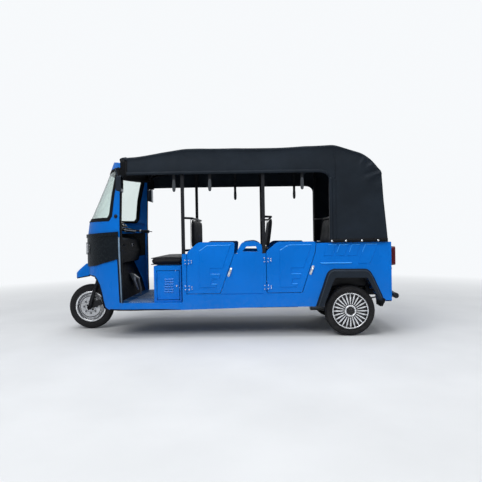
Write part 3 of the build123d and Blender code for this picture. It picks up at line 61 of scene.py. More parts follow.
ahead = Vector(
    (
        math.sin(CAM_YAW) * math.cos(CAM_PITCH),
        math.cos(CAM_YAW) * math.cos(CAM_PITCH),
        -math.sin(CAM_PITCH),
    )
)
level_right = Vector((math.cos(CAM_YAW), -math.sin(CAM_YAW), 0))
level_up = level_right.cross(ahead)
right = math.cos(CAM_ROLL) * level_right + math.sin(CAM_ROLL) * level_up
up = -math.sin(CAM_ROLL) * level_right + math.cos(CAM_ROLL) * level_up
camera_data = bpy.data.cameras.new("camera")
camera_data.lens = CAM_LENS
camera_data.sensor_width = 36
camera_data.sensor_fit = "HORIZONTAL"
camera_data.clip_end = 200
camera = bpy.data.objects.new("camera", camera_data)
camera.matrix_world = Matrix(
    (
        (right.x, up.x, -ahead.x, CAM_PLACE.x),
        (right.y, up.y, -ahead.y, CAM_PLACE.y),
        (right.z, up.z, -ahead.z, CAM_PLACE.z),
        (0, 0, 0, 1),
    )
)
scene.collection.objects.link(camera)
scene.camera = camera
scene.view_settings.view_transform = "Standard"


def area_light(name, place, aim, size, power):
    """A soft rectangular lamp at place that points at aim."""
    data = bpy.data.lights.new(name, "AREA")
    data.shape = "RECTANGLE"
    data.size, data.size_y = size
    data.energy = power
    lamp = bpy.data.objects.new(name, data)
    lamp.location = place
    lamp.rotation_euler = (Vector(aim) - Vector(place)).to_track_quat("-Z", "Y").to_euler()
    scene.collection.objects.link(lamp)


area_light("key", (-3.0, -6.0, 6.5), (0, 0, 0.8), (5, 4), 372)
area_light("fill", (4.5, -5.0, 4.0), (0, 0, 0.8), (4, 3), 100)
area_light("top", (0, -0.8, 6.5), (0, 0, 0), (6, 4), 306)
area_light("back", (0, 6.0, 4.0), (0, 0, 0.8), (6, 3), 70)

world = bpy.data.worlds.new("world")
scene.world = world
world.use_nodes = True
wt = world.node_tree
sky = wt.nodes["Background"]
sky.inputs["Color"].default_value = (0.86, 0.92, 1.0, 1)
sky.inputs["Strength"].default_value = 0.32
backdrop = wt.nodes.new("ShaderNodeBackground")
backdrop.inputs["Color"].default_value = (0.93, 0.95, 0.97, 1)
backdrop.inputs["Strength"].default_value = 1.0
rays = wt.nodes.new("ShaderNodeLightPath")
either = wt.nodes.new("ShaderNodeMath")
either.operation = "MAXIMUM"
wt.links.new(rays.outputs["Is Camera Ray"], either.inputs[0])
wt.links.new(rays.outputs["Is Transmission Ray"], either.inputs[1])
pick = wt.nodes.new("ShaderNodeMixShader")
wt.links.new(either.outputs[0], pick.inputs["Fac"])
wt.links.new(sky.outputs[0], pick.inputs[1])
wt.links.new(backdrop.outputs[0], pick.inputs[2])
wt.links.new(pick.outputs[0], wt.nodes["World Output"].inputs["Surface"])

# Materials


class Nodes:
    """Short forms for the nodes of one material."""

    def __init__(self, name):
        self.material = bpy.data.materials.new(name)
        self.material.use_nodes = True
        self.tree = self.material.node_tree
        self.shader = self.tree.nodes["Principled BSDF"]
        self.place = self.new("ShaderNodeTexCoord").outputs["Object"]

    def new(self, kind, **settings):
        node = self.tree.nodes.new(kind)
        for key, value in settings.items():
            setattr(node, key, value)
        return node

    def link(self, source, target):
        self.tree.links.new(source, target)

    def noise(self, scale, detail=3.0, stretch=None):
        node = self.new("ShaderNodeTexNoise")
        node.inputs["Scale"].default_value = scale
        node.inputs["Detail"].default_value = detail
        source = self.place
        if stretch:
            mapping = self.new("ShaderNodeMapping")
            mapping.inputs["Scale"].default_value = stretch
            self.link(source, mapping.inputs["Vector"])
            source = mapping.outputs[0]
        self.link(source, node.inputs["Vector"])
        return node.outputs["Fac"]

    def remap(self, source, low, high, to_low, to_high):
        node = self.new("ShaderNodeMapRange")
        for key, value in (("From Min", low), ("From Max", high), ("To Min", to_low), ("To Max", to_high)):
            node.inputs[key].default_value = value
        self.link(source, node.inputs["Value"])
        return node.outputs["Result"]

    def mix(self, factor, first, second):
        node = self.new("ShaderNodeMix", data_type="RGBA")
        self.link(factor, node.inputs["Factor"])
        for socket, value in ((node.inputs[6], first), (node.inputs[7], second)):
            if isinstance(value, bpy.types.NodeSocket):
                self.link(value, socket)
            else:
                socket.default_value = (*value, 1)
        return node.outputs[2]

    def bump(self, source, distance, strength=0.5, under=None):
        node = self.new("ShaderNodeBump")
        node.inputs["Distance"].default_value = distance
        node.inputs["Strength"].default_value = strength
        self.link(source, node.inputs["Height"])
        if under:
            self.link(under, node.inputs["Normal"])
        return node.outputs["Normal"]

    def height(self):
        split = self.new("ShaderNodeSeparateXYZ")
        self.link(self.place, split.inputs[0])
        return split.outputs["Z"]

    def times(self, first, second):
        node = self.new("ShaderNodeMath", operation="MULTIPLY")
        self.link(first, node.inputs[0])
        self.link(second, node.inputs[1])
        return node.outputs[0]

    def patches(self, scale, detail=3.0, low=0.3, high=0.7):
        return self.remap(self.noise(scale, detail), low, high, 0.0, 1.0)

    def color(self, factor, first, second):
        self.link(self.mix(factor, first, second), self.shader.inputs["Base Color"])

    def rough(self, scale, detail, low, high):
        self.link(
            self.remap(self.noise(scale, detail), 0.3, 0.7, low, high), self.shader.inputs["Roughness"]
        )

    def normal(self, source):
        self.link(source, self.shader.inputs["Normal"])

    def set(self, **values):
        for key, value in values.items():
            self.shader.inputs[key.replace("_", " ")].default_value = value


def tone(color, factor):
    return tuple(channel * factor for channel in color)


def soft_edge(n, radius):
    """Corners that catch light as if rounded by a few millimetres."""
    node = n.new("ShaderNodeBevel", samples=4)
    node.inputs["Radius"].default_value = radius
    return node.outputs["Normal"]


def plain(name, color, rough, metal=0.0, vary=0.12, grain=420.0, grain_depth=0.0002, coat=0.0, shine=0.22):
    """Paint, plastic or metal: a colour with slow variation, fine grain and uneven gloss."""
    n = Nodes(name)
    n.color(n.patches(9.0), tone(color, 1 - vary), tone(color, 1 + vary))
    n.rough(36.0, 3.0, rough - 0.08, rough + 0.08)
    n.normal(n.bump(n.noise(grain, 2.0), grain_depth, 0.5, soft_edge(n, 0.002)))
    n.set(Metallic=metal, Specular_IOR_Level=shine)
    if coat:
        n.set(Coat_Weight=coat, Coat_Roughness=0.06)
    return n.material


def body_paint(name, color):
    """Gloss car paint with fine orange peel, slight fading and road dust low on the panels."""
    n = Nodes(name)
    faded = n.mix(n.patches(2.2), tone(color, 0.92), tone(color, 1.07))
    low = n.remap(n.height(), 0.27, 0.42, 0.07, 0.0)
    n.color(n.times(low, n.patches(26.0, 6.0, 0.42, 0.7)), faded, (0.30, 0.27, 0.23))
    n.rough(5.0, 3.0, 0.24, 0.36)
    peel = n.bump(n.noise(140.0, 1.0), 0.00025, 0.25, soft_edge(n, 0.003))
    n.normal(n.bump(n.noise(3.2, 1.0), 0.004, 0.12, peel))
    n.set(Coat_Weight=0.18, Coat_Roughness=0.05, Specular_IOR_Level=0.08)
    return n.material


def vinyl(name, color, rough, grain, shine=0.2):
    """Coated cloth or seat vinyl with a pebbled grain and scuffed gloss."""
    n = Nodes(name)
    n.color(n.patches(4.0, 4.0), tone(color, 0.82), tone(color, 1.2))
    n.rough(14.0, 4.0, rough - 0.08, rough + 0.08)
    cells = n.new("ShaderNodeTexVoronoi", feature="DISTANCE_TO_EDGE")
    cells.inputs["Scale"].default_value = grain
    n.link(n.place, cells.inputs["Vector"])
    fine = n.bump(n.remap(cells.outputs["Distance"], 0.0, 0.12, 0.0, 1.0), 0.0004, 0.35)
    n.normal(n.bump(n.noise(7.0, 4.0), 0.004, 0.25, fine))
    n.set(Specular_IOR_Level=shine)
    return n.material


def webbing(name, color):
    """Woven strap: two crossed waves as the weave."""
    n = Nodes(name)
    heights = []
    for direction in ("X", "Z"):
        wave = n.new("ShaderNodeTexWave", bands_direction=direction)
        wave.inputs["Scale"].default_value = 190
        n.link(n.place, wave.inputs["Vector"])
        heights.append(wave.outputs["Fac"])
    weave = n.times(*heights)
    n.color(weave, tone(color, 0.7), tone(color, 1.3))
    n.normal(n.bump(weave, 0.0006))
    n.rough(30.0, 3.0, 0.75, 0.9)
    n.set(Specular_IOR_Level=0.15)
    return n.material


def glass(name, color, rough=0.02, see=0.95):
    """Clear pane with faint waves and smears."""
    n = Nodes(name)
    n.set(Base_Color=(*color, 1), IOR=1.45, Transmission_Weight=see)
    smears = n.remap(n.noise(6.0, 5.0), 0.35, 0.75, rough, rough + 0.05)
    n.link(smears, n.shader.inputs["Roughness"])
    n.normal(n.bump(n.noise(2.5, 1.0), 0.002, 0.06))
    return n.material


def rubber(name, color, rough):
    """Tyre rubber, greyed by road dust where it is noisy."""
    n = Nodes(name)
    n.color(n.remap(n.noise(60.0, 6.0), 0.45, 0.75, 0.0, 0.5), color, tone(color, 2.6))
    n.rough(18.0, 3.0, rough - 0.07, rough + 0.07)
    n.normal(n.bump(n.noise(380.0, 3.0), 0.0004, 0.4))
    n.set(Specular_IOR_Level=0.2)
    return n.material


def wheel_metal(name, color, rough, metal=0.9):
    """Turned or cast wheel metal with fine patches of brake dust."""
    n = Nodes(name)
    n.color(n.patches(22.0, 5.0, 0.35, 0.7), color, tone(color, 0.72))
    n.rough(40.0, 3.0, rough - 0.08, rough + 0.1)
    n.normal(n.bump(n.noise(520.0, 2.0), 0.00015, 0.4))
    n.set(Metallic=metal)
    return n.material


def tread_plate(name, alloy, paint, dark):
    """Painted floor plate worn to bare metal in patches, and dark where the pan rises; the bare metal is
    tinted blue as a painted reflection of the blue paint and sky.
    """
    n = Nodes(name)
    risen = n.remap(n.height(), 0.359, 0.363, 0.0, 1.0)
    worn = n.patches(9.0, 6.0, 0.49, 0.66)
    n.color(risen, n.mix(worn, paint, alloy), dark)
    n.link(n.times(n.remap(risen, 0.0, 1.0, 0.85, 0.0), worn), n.shader.inputs["Metallic"])
    n.rough(34.0, 4.0, 0.4, 0.6)
    n.normal(n.bump(n.noise(460.0, 2.0), 0.0002, 0.4))
    n.set(Specular_IOR_Level=0.03)
    return n.material


BLUE = (0.0008, 0.152, 0.60)
MATERIALS = {
    "blue_paint": body_paint("blue_paint", BLUE),
    "frame_black": plain("frame_black", (0.010, 0.011, 0.014), 0.42, coat=0.1),
    "canopy_fabric": vinyl("canopy_fabric", (0.0095, 0.0145, 0.0215), 0.66, 520.0, 0.14),
    "seat_vinyl": vinyl("seat_vinyl", (0.014, 0.014, 0.016), 0.5, 360.0),
    "backrest_vinyl": vinyl("backrest_vinyl", (0.010, 0.0115, 0.014), 0.58, 360.0, 0.12),
    "webbing": webbing("webbing", (0.030, 0.032, 0.036)),
    "strap_grip": plain("strap_grip", (0.060, 0.066, 0.074), 0.5, shine=0.18),
    # Lighter grey copy of the flares' dark plastic for their top lip: painted highlight
    "flare_highlight_grey": plain("flare_highlight_grey", (0.040, 0.050, 0.062), 0.45, shine=0.2),
    # Lighter, glossier copy of the body blue for rolled edges: painted highlight where their tops catch the
    # light
    "blue_highlight_paint": plain("blue_highlight_paint", (0.02, 0.30, 0.86), 0.2, vary=0.05, coat=0.8),
    # Darker copy of black plastic for the dashboard: painted shade inside the cab
    "dash_shaded_black": plain(
        "dash_shaded_black", (0.0045, 0.006, 0.009), 0.6, grain=700.0, grain_depth=0.0005, shine=0.1
    ),
    "black_gloss": plain("black_gloss", (0.007, 0.010, 0.013), 0.26, coat=0.08, shine=0.12),
    "black_plastic": plain(
        "black_plastic", (0.013, 0.019, 0.028), 0.58, grain=700.0, grain_depth=0.0005, shine=0.15
    ),
    "seal_rubber": plain("seal_rubber", (0.0035, 0.0042, 0.0055), 0.62, shine=0.14),
    "tyre_rubber": rubber("tyre_rubber", (0.013, 0.013, 0.014), 0.78),
    "rim_alloy": wheel_metal("rim_alloy", (0.62, 0.63, 0.65), 0.32),
    "rim_black": plain("rim_black", (0.008, 0.008, 0.010), 0.35, coat=0.5),
    "trim_silver": wheel_metal("trim_silver", (0.88, 0.89, 0.91), 0.24, metal=0.8),
    # Worn bare metal in a blue-tinted grey: real wear, with its blue tint a painted reflection
    "floor_tread": tread_plate(
        "floor_tread", (0.16, 0.27, 0.42), (0.008, 0.10, 0.31), (0.0012, 0.0025, 0.007)
    ),
    "cast_metal": wheel_metal("cast_metal", (0.45, 0.46, 0.47), 0.5),
    "steel_dark": plain("steel_dark", (0.03, 0.03, 0.033), 0.55, metal=0.4),
    "glass_clear": glass("glass_clear", (0.86, 0.95, 0.92)),
    "window_vinyl": glass("window_vinyl", (0.82, 0.85, 0.88), 0.12),
    "lamp_clear": glass("lamp_clear", (0.92, 0.94, 0.97)),
    "lamp_red": plain("lamp_red", (0.085, 0.003, 0.008), 0.2, coat=0.45),
    "battery_case": plain("battery_case", (0.05, 0.05, 0.055), 0.6),
    # Grey-blue of the door-post trims: painted reflection of the sky on a rounded post
    "post_trim": plain("post_trim", (0.16, 0.24, 0.33), 0.45),
    "plate_white": plain("plate_white", (0.72, 0.73, 0.74), 0.4, vary=0.03),
    "mirror_glass": wheel_metal("mirror_glass", (0.9, 0.92, 0.94), 0.12, metal=1.0),
    "bare_alloy": wheel_metal("bare_alloy", (0.66, 0.70, 0.75), 0.36, metal=0.7),
}
for part in frame["record"]["subparts"]:
    mesh = nodes[part["node"]].data
    mesh.materials.clear()
    # The dashboard takes the darker copy of black plastic as painted shade
    mesh.materials.append(MATERIALS["dash_shaded_black" if part["node"] == "dashboard" else part["material_slot"]])

floor_material = Nodes("floor")
floor_material.color(floor_material.patches(1.2, 5.0), (0.60, 0.61, 0.62), (0.66, 0.67, 0.68))
floor_material.normal(floor_material.bump(floor_material.noise(160.0, 4.0), 0.0015, 0.3))
floor_material.set(Roughness=0.9)
FADE_NEAR, FADE_FAR = 2.6, 7.5
away = floor_material.new("ShaderNodeVectorMath", operation="LENGTH")
floor_material.link(floor_material.place, away.inputs[0])
haze = floor_material.remap(away.outputs["Value"], FADE_NEAR, FADE_FAR, 0.0, 1.0)
floor_rays = floor_material.new("ShaderNodeLightPath")
seen = floor_material.times(haze, floor_rays.outputs["Is Camera Ray"])
glow = floor_material.new("ShaderNodeEmission")
glow.inputs["Color"].default_value = (0.93, 0.95, 0.97, 1)
melt = floor_material.new("ShaderNodeMixShader")
floor_material.link(seen, melt.inputs["Fac"])
floor_material.link(floor_material.shader.outputs["BSDF"], melt.inputs[1])
floor_material.link(glow.outputs[0], melt.inputs[2])
floor_material.link(melt.outputs[0], floor_material.tree.nodes["Material Output"].inputs["Surface"])

# Mesh helpers


def piece(name, mesh, material, body="root", smooth=True):
    """A mesh as an object with its material, riding on a body."""
    obj = bpy.data.objects.new(name, mesh)
    scene.collection.objects.link(obj)
    mesh.materials.append(MATERIALS[material] if isinstance(material, str) else material)
    for polygon in mesh.polygons:
        polygon.use_smooth = smooth
    if body:
        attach(obj, body)
    return obj


def mesh_from(name, points, faces):
    mesh = bpy.data.meshes.new(name)
    mesh.from_pydata([tuple(p) for p in points], [], faces)
    mesh.validate()
    mesh.update()
    return mesh


def grid_faces(rows, columns, wrap_rows=False, wrap_columns=False, skip=None):
    faces = []
    for i in range(rows if wrap_rows else rows - 1):
        for j in range(columns if wrap_columns else columns - 1):
            if skip and skip(i, j):
                continue
            i1, j1 = (i + 1) % rows, (j + 1) % columns
            faces.append((i * columns + j, i * columns + j1, i1 * columns + j1, i1 * columns + j))
    return faces


def solidify(obj, thickness, offset=-1.0):
    modifier = obj.modifiers.new("thickness", "SOLIDIFY")
    modifier.thickness = thickness
    modifier.offset = offset
    return modifier


def subdivide(obj, levels):
    modifier = obj.modifiers.new("smooth", "SUBSURF")
    modifier.levels = levels
    modifier.render_levels = levels
    return modifier


def many(name, forms, material, body="root", smooth=True):
    """One piece out of many small closed forms, each a (points, faces) pair."""
    points, faces = [], []
    for form_points, form_faces in forms:
        base = len(points)
        points += form_points
        faces += [tuple(base + k for k in face) for face in form_faces]
    return piece(name, mesh_from(name, points, faces), material, body, smooth)


def band(name, points, columns, material, thickness):
    """A thin sheet through rows of points, with its thickness to both sides."""
    faces = grid_faces(len(points) // columns, columns)
    obj = piece(name, mesh_from(name, points, faces), material)
    solidify(obj, thickness, 0)
    return obj


def rounded(turn, power):
    """A place on a rounded square of half width 1, as across and up."""
    return [math.copysign(abs(value) ** power, value) for value in (math.cos(turn), math.sin(turn))]


def lathe(profile, centre, axis, steps=16):
    """A closed form turned round an axis: profile as (distance along the axis, radius)."""
    axis = Vector(axis).normalized()
    side = axis.orthogonal().normalized()
    other = axis.cross(side)
    centre = Vector(centre)
    points = []
    for along, radius in profile:
        for k in range(steps):
            turn = 2 * math.pi * k / steps
            points.append(centre + axis * along + (side * math.cos(turn) + other * math.sin(turn)) * radius)
    faces = [face[::-1] for face in grid_faces(len(profile), steps, wrap_columns=True)]
    faces.append(tuple(range(steps))[::-1])
    faces.append(tuple(range(len(points) - steps, len(points))))
    return points, faces


def dome_bolt(centre, axis, radius, height):
    """A round-headed fastener on a thin washer."""
    profile = [
        (-0.001, radius * 1.25),
        (height * 0.22, radius * 1.25),
        (height * 0.24, radius),
        (height * 0.6, radius * 0.92),
        (height * 0.9, radius * 0.6),
        (height, radius * 0.2),
    ]
    return lathe(profile, centre, axis, 14)


# Floor
ground = mesh_from("floor", [(-20, -20, 0), (20, -20, 0), (20, 20, 0), (-20, 20, 0)], [(0, 1, 2, 3)])
floor = piece("floor", ground, floor_material.material, body=None)

# Canopy
HALF = 0.645
SHOULDER = 0.030
CROWN = 0.045
ROOF_LINE = (
    (-1.135, 1.790),
    (-0.840, 1.802),
    (-0.360, 1.875),
    (0.530, 1.864),
    (1.110, 1.882),
    (1.385, 1.792),
    (1.487, 1.714),
    (1.562, 1.606),
)
VALANCE_LINE = (
    (-1.200, 1.620), (-0.381, 1.620), (0.966, 1.611), (1.020, 1.600), (1.056, 1.560), (1.700, 1.560)
)
WALL_LINE = ((0.926, 1.615), (1.343, 1.578), (1.570, 1.562))
CURTAIN_X = 1.053
CURTAIN_LOW = 0.926
CURTAIN_HIGH = 1.560
LIP_SIDE_X = -0.950
LIP_MIDDLE_X = -1.130
WALL_TOP_X = 1.562
WINDOW_HALF = 0.330
WINDOW_LOW = 1.300
WINDOW_HIGH = 1.560
# The sides lean in towards the roof: how far, from what height and over what height
SIDE_LEAN, LEAN_LOW, LEAN_RUN = 0.012, 1.655, 0.16
HOOP_XS = (-0.900, -0.560, -0.220, 0.130, 0.480, 0.820, 1.100, 1.400)


def along(line, x):
    """Height on a chain of straight runs at x."""
    for (x0, z0), (x1, z1) in zip(line, line[1:]):
        if x <= x1:
            return z0 + (z1 - z0) * (x - x0) / (x1 - x0)
    return line[-1][1]


def eased(t):
    t = min(1, max(0, t))
    return t * t * (3 - 2 * t)


def roof_height(x):
    """The roof's edge line with its bends eased over the fabric."""
    reach = 0.035
    return sum(along(ROOF_LINE, x + k * reach) for k in (-1, -0.5, 0, 0.5, 1)) / 5


def hoop_sag(x):
    """How far the cloth hangs between two hoops."""
    for a, b in zip(HOOP_XS, HOOP_XS[1:]):
        if a <= x <= b:
            return 0.006 * math.sin(math.pi * (x - a) / (b - a)) ** 2
    return 0


# Pleats at the rear corner: outer end and inner end in x, z, height and half width
PLEATS = (
    ((1.412, 1.790), (1.358, 1.672), 0.016, 0.015),
    ((1.500, 1.712), (1.420, 1.640), 0.019, 0.015),
    ((1.558, 1.602), (1.368, 1.530), 0.020, 0.017),
    ((1.585, 1.480), (1.470, 1.455), 0.008, 0.030),
)


def pleat_height(x, z):
    """Outward swell of the gathered corner at a place on the side."""
    total = 0
    for (x0, z0), (x1, z1), height, width in PLEATS:
        run = Vector((x1 - x0, z1 - z0))
        t = ((x - x0) * run.x + (z - z0) * run.y) / run.length_squared
        if -0.2 < t < 1.15:
            off = ((x - x0) * run.y - (z - z0) * run.x) / run.length / width
            fade = eased((t + 0.2) / 0.3) * eased((1.15 - t) / 0.6)
            total += height * fade * (math.exp(-off * off) - 0.8 * math.exp(-((off - 1.6) ** 2)))
    return total


def ripple(point):
    """Slow waves of loose cloth, up to a few millimetres."""
    slow = noise.noise(point * 3.1)
    fine = noise.noise(Vector((point.x * 11, point.y * 6, point.z * 5)))
    return 0.0035 * slow + 0.0014 * fine


FRONT_STATIONS, REAR_STATIONS = 58, 34
LOW_ROWS = 16
HIGH_ROWS = 9
CORNER_STEPS = 4
CROWN_YS = [WINDOW_HALF * k / 6 for k in range(7)]
CROWN_YS += [WINDOW_HALF + (HALF - SHOULDER - WINDOW_HALF) * k / 6 for k in range(1, 7)]


def half_section(x0):
    """One half of the canopy's section at a station, from the curtain's hem up to the ridge."""
    valance = along(VALANCE_LINE, x0)
    spring = roof_height(x0) - SHOULDER
    rear = eased((x0 - CURTAIN_X) / (WALL_TOP_X - CURTAIN_X))
    points = []
    low_steps = [CURTAIN_LOW + (CURTAIN_HIGH - CURTAIN_LOW) * k / LOW_ROWS for k in range(LOW_ROWS)]
    low_steps = [WINDOW_LOW if abs(z - WINDOW_LOW) < 0.019 else z for z in low_steps]
    high_steps = [valance + (spring - valance) * k / HIGH_ROWS for k in range(HIGH_ROWS + 1)]
    for z in low_steps + high_steps:
        x = x0 + (along(WALL_LINE, z) - WALL_TOP_X) * rear
        points.append(("side", Vector((x, HALF, z))))
    for k in range(1, CORNER_STEPS):
        turn = math.pi / 2 * k / CORNER_STEPS
        y = HALF - SHOULDER + SHOULDER * math.cos(turn)
        points.append(("corner", Vector((x0, y, spring + SHOULDER * math.sin(turn)))))
    flat = HALF - SHOULDER
    for y in reversed(CROWN_YS):
        lip = LIP_MIDDLE_X + (LIP_SIDE_X - LIP_MIDDLE_X) * (y / HALF) ** 2
        x = x0 + (lip - LIP_SIDE_X) * (1 - eased((x0 - LIP_SIDE_X) / 0.3))
        z = roof_height(x) + CROWN * (1 - (y / flat) ** 2)
        points.append(("roof", Vector((x, y, z))))
    return points


def dressed(kind, point):
    """The section point moved by sag, ripples and pleats along the surface's normal."""
    move = ripple(point)
    edge = min(1, abs(point.z - CURTAIN_LOW) / 0.05)
    if kind == "side":
        swell = pleat_height(point.x, point.z)
        side = 1 if point.y > 0 else -1
        lean = SIDE_LEAN * eased((point.z - LEAN_LOW) / LEAN_RUN)
        return point + Vector((0, side * (move * edge + swell - lean), 0))
    if kind == "roof":
        return point + Vector((0, 0, move * 0.6 - hoop_sag(point.x)))
    return point


def section(x0):
    """The whole section at a station, from the left hem over the ridge to the right hem."""
    half = half_section(x0)
    left = [(kind, Vector((p.x, -p.y, p.z))) for kind, p in half]
    return [dressed(kind, point) for kind, point in left + half[-2::-1]]


def canopy_mesh():
    """Points and faces of the cloth: sections from lip to rear corner, and the wall with its window."""
    front = [LIP_SIDE_X + (CURTAIN_X - LIP_SIDE_X) * k / FRONT_STATIONS for k in range(FRONT_STATIONS)]
    run = WALL_TOP_X - CURTAIN_X
    rear = [CURTAIN_X + run * k / (REAR_STATIONS - 1) for k in range(REAR_STATIONS)]
    rings = [section(x) for x in front + rear]
    count = len(rings[0])
    points = [point for ring in rings for point in ring]
    open_columns = set(range(LOW_ROWS)) | set(range(count - 1 - LOW_ROWS, count - 1))
    faces = grid_faces(len(rings), count, skip=lambda i, j: i < FRONT_STATIONS and j in open_columns)
    side_count = LOW_ROWS + HIGH_ROWS + 1
    last = (len(rings) - 1) * count
    columns = list(range(side_count - 1, count - side_count + 1))
    rows = [[last + j for j in columns]]
    for row in range(side_count - 2, -1, -1):
        left, right = last + row, last + count - 1 - row
        z = points[left].z
        line = [left]
        for j in columns[1:-1]:
            top = points[last + j]
            spot = Vector((along(WALL_LINE, z), top.y, z))
            spot.x += 1.3 * ripple(spot)
            points.append(spot)
            line.append(len(points) - 1)
        rows.append(line + [right])
    for upper, lower in zip(rows, rows[1:]):
        for k in range(len(upper) - 1):
            middle = (points[upper[k]] + points[lower[k + 1]]) / 2
            in_window = abs(middle.y) < WINDOW_HALF and WINDOW_LOW < middle.z < WINDOW_HIGH
            if not in_window:
                faces.append((upper[k], lower[k], lower[k + 1], upper[k + 1]))
    return points, faces


points, faces = canopy_mesh()
mesh = mesh_from("canopy_cloth", points, faces)
bm = bmesh.new()
bm.from_mesh(mesh)
loose = [v for v in bm.verts if not v.link_faces]
bmesh.ops.delete(bm, geom=loose, context="VERTS")
bmesh.ops.recalc_face_normals(bm, faces=bm.faces)
if sum(f.normal.z * f.calc_area() for f in bm.faces if f.calc_center_median().z > 1.8) < 0:
    bmesh.ops.reverse_faces(bm, faces=bm.faces)
cloth_area = sum(f.calc_area() for f in bm.faces)
bm.to_mesh(mesh)
bm.free()
canopy_cloth = piece("canopy_cloth", mesh, "canopy_fabric")
subdivide(canopy_cloth, 1)
solidify(canopy_cloth, 0.0025)
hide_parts("canopy")


def strip(name, line, width, lift, material="canopy_fabric", thickness=0.003):
    """A sewn band along a line of points, lifted off the cloth by lift and as broad as width."""
    points = [point + Vector(lift) + Vector(way) for point in line for way in ((0, 0, 0), width)]
    return band(name, points, 2, material, thickness)


def side_point(x, z, side):
    """A place on the dressed side of the canopy."""
    return dressed("side", Vector((x, side * HALF, z)))


for side, word in SIDES:
    valance = []
    for k in range(70):
        x = LIP_SIDE_X + (CURTAIN_X - LIP_SIDE_X) * k / 69
        valance.append(side_point(x, along(VALANCE_LINE, x), side))
    strip("valance_hem_" + word, valance, (0, 0, 0.030), (0, side * 0.0022, 0))
    levels = [CURTAIN_LOW + (CURTAIN_HIGH - CURTAIN_LOW) * k / 40 for k in range(41)]
    curtain = [side_point(CURTAIN_X, z, side) for z in levels]
    strip("curtain_hem_" + word, curtain, (0.032, 0, 0), (0, side * 0.0022, 0))
    foot = [side_point(CURTAIN_X + (1.613 - CURTAIN_X) * k / 30, CURTAIN_LOW, side) for k in range(31)]
    strip("foot_hem_" + word, foot, (0, 0, 0.034), (0, side * 0.0024, 0), "seal_rubber")
lip = []
for k in range(41):
    y = -HALF + 2 * HALF * k / 40
    flat = min(abs(y), HALF - SHOULDER)
    x = LIP_MIDDLE_X + (LIP_SIDE_X - LIP_MIDDLE_X) * (y / HALF) ** 2
    z = roof_height(x) + CROWN * (1 - (flat / (HALF - SHOULDER)) ** 2)
    z -= SHOULDER - math.sqrt(max(0, SHOULDER**2 - (abs(y) - flat) ** 2))
    lip.append(Vector((x, y, z)))
strip("lip_hem", lip, (0.032, 0, 0.004), (0, 0, 0.0025))

STUD_XS = (1.072, 1.208, 1.362, 1.520)
studs = []
for x in STUD_XS:
    for side in (-1, 1):
        place = side_point(x, CURTAIN_LOW + 0.014, side) + Vector((0, side * 0.004, 0))
        studs.append(dome_bolt(place, (0, side, 0), 0.0075, 0.005))
many("snap_studs", studs, "trim_silver")

# Seats


def pad_form(name, low, high, crown, corner=0.028, steps=(10, 26, 5)):
    """A closed pad between two corners: crowned faces, round corners and sides drawn in between."""
    low, high = Vector(low), Vector(high)
    middle, half = (low + high) / 2, (high - low) / 2
    bm = bmesh.new()
    bmesh.ops.create_cube(bm, size=2)
    for axis, count in enumerate(steps):
        edges = [e for e in bm.edges if abs((e.verts[0].co - e.verts[1].co)[axis]) > 1.9]
        bmesh.ops.subdivide_edges(bm, edges=edges, cuts=count - 1, use_grid_fill=True)
    thin = min(range(3), key=lambda k: half[k])
    for vert in bm.verts:
        unit = vert.co.copy()
        spot = Vector(unit[k] * half[k] for k in range(3))
        inner = Vector(max(-half[k] + corner, min(half[k] - corner, spot[k])) for k in range(3))
        away = spot - inner
        if away.length > 1e-6:
            spot = inner + away.normalized() * min(away.length, corner)
        others = [k for k in range(3) if k != thin]
        dome = 1.0
        for k in others:
            dome *= 1 - abs(unit[k]) ** 4
        spot[thin] += math.copysign(1, unit[thin]) * (crown * dome - crown) * (abs(unit[thin]) > 0.5)
        for k in others:
            pull = 1 - abs(unit[others[0] if k == others[1] else others[1]]) ** 6
            spot[k] *= 1 - 0.006 * pull * (1 - abs(unit[thin])) / max(half[k], 0.1) * 0.5
        vert.co = middle + spot
    mesh = bpy.data.meshes.new(name)
    bm.to_mesh(mesh)
    bm.free()
    return mesh


def inflate(obj, voxel, cap):
    """Swells a pad by a short cloth run under pressure, held to a small distance from its start."""
    bpy.context.view_layer.objects.active = obj
    remesh = obj.modifiers.new("even", "REMESH")
    remesh.mode = "VOXEL"
    remesh.voxel_size = voxel
    bpy.ops.object.modifier_apply(modifier="even")
    start = [v.co.copy() for v in obj.data.vertices]
    cloth = obj.modifiers.new("cloth", "CLOTH")
    cloth.settings.use_pressure = True
    cloth.settings.uniform_pressure_force = 4
    cloth.settings.effector_weights.gravity = 0
    cloth.settings.quality = 4
    cloth.settings.tension_stiffness = 30
    cloth.settings.bending_stiffness = 4
    cloth.point_cache.frame_start = 1
    cloth.point_cache.frame_end = 20
    for number in range(1, 21):
        scene.frame_set(number)
    bpy.ops.object.modifier_apply(modifier="cloth")
    for vert, place in zip(obj.data.vertices, start):
        move = vert.co - place
        if move.length > cap:
            vert.co = place + move * (cap / move.length)
    scene.frame_set(1)


def tube(name, line, radius, material, body="root", closed=False):
    """A round bead or rod along a smooth line of points."""
    data = bpy.data.curves.new(name, "CURVE")
    data.dimensions = "3D"
    data.bevel_depth = radius
    data.bevel_resolution = 3
    data.resolution_u = 8
    spline = data.splines.new("NURBS")
    spline.points.add(len(line) - 1)
    for control, point in zip(spline.points, line):
        control.co = (*point, 1)
    spline.order_u = 3
    spline.use_cyclic_u = closed
    if not closed:
        spline.use_endpoint_u = True
    data.use_fill_caps = True
    data.materials.append(MATERIALS[material])
    obj = bpy.data.objects.new(name, data)
    scene.collection.objects.link(obj)
    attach(obj, body)
    return obj


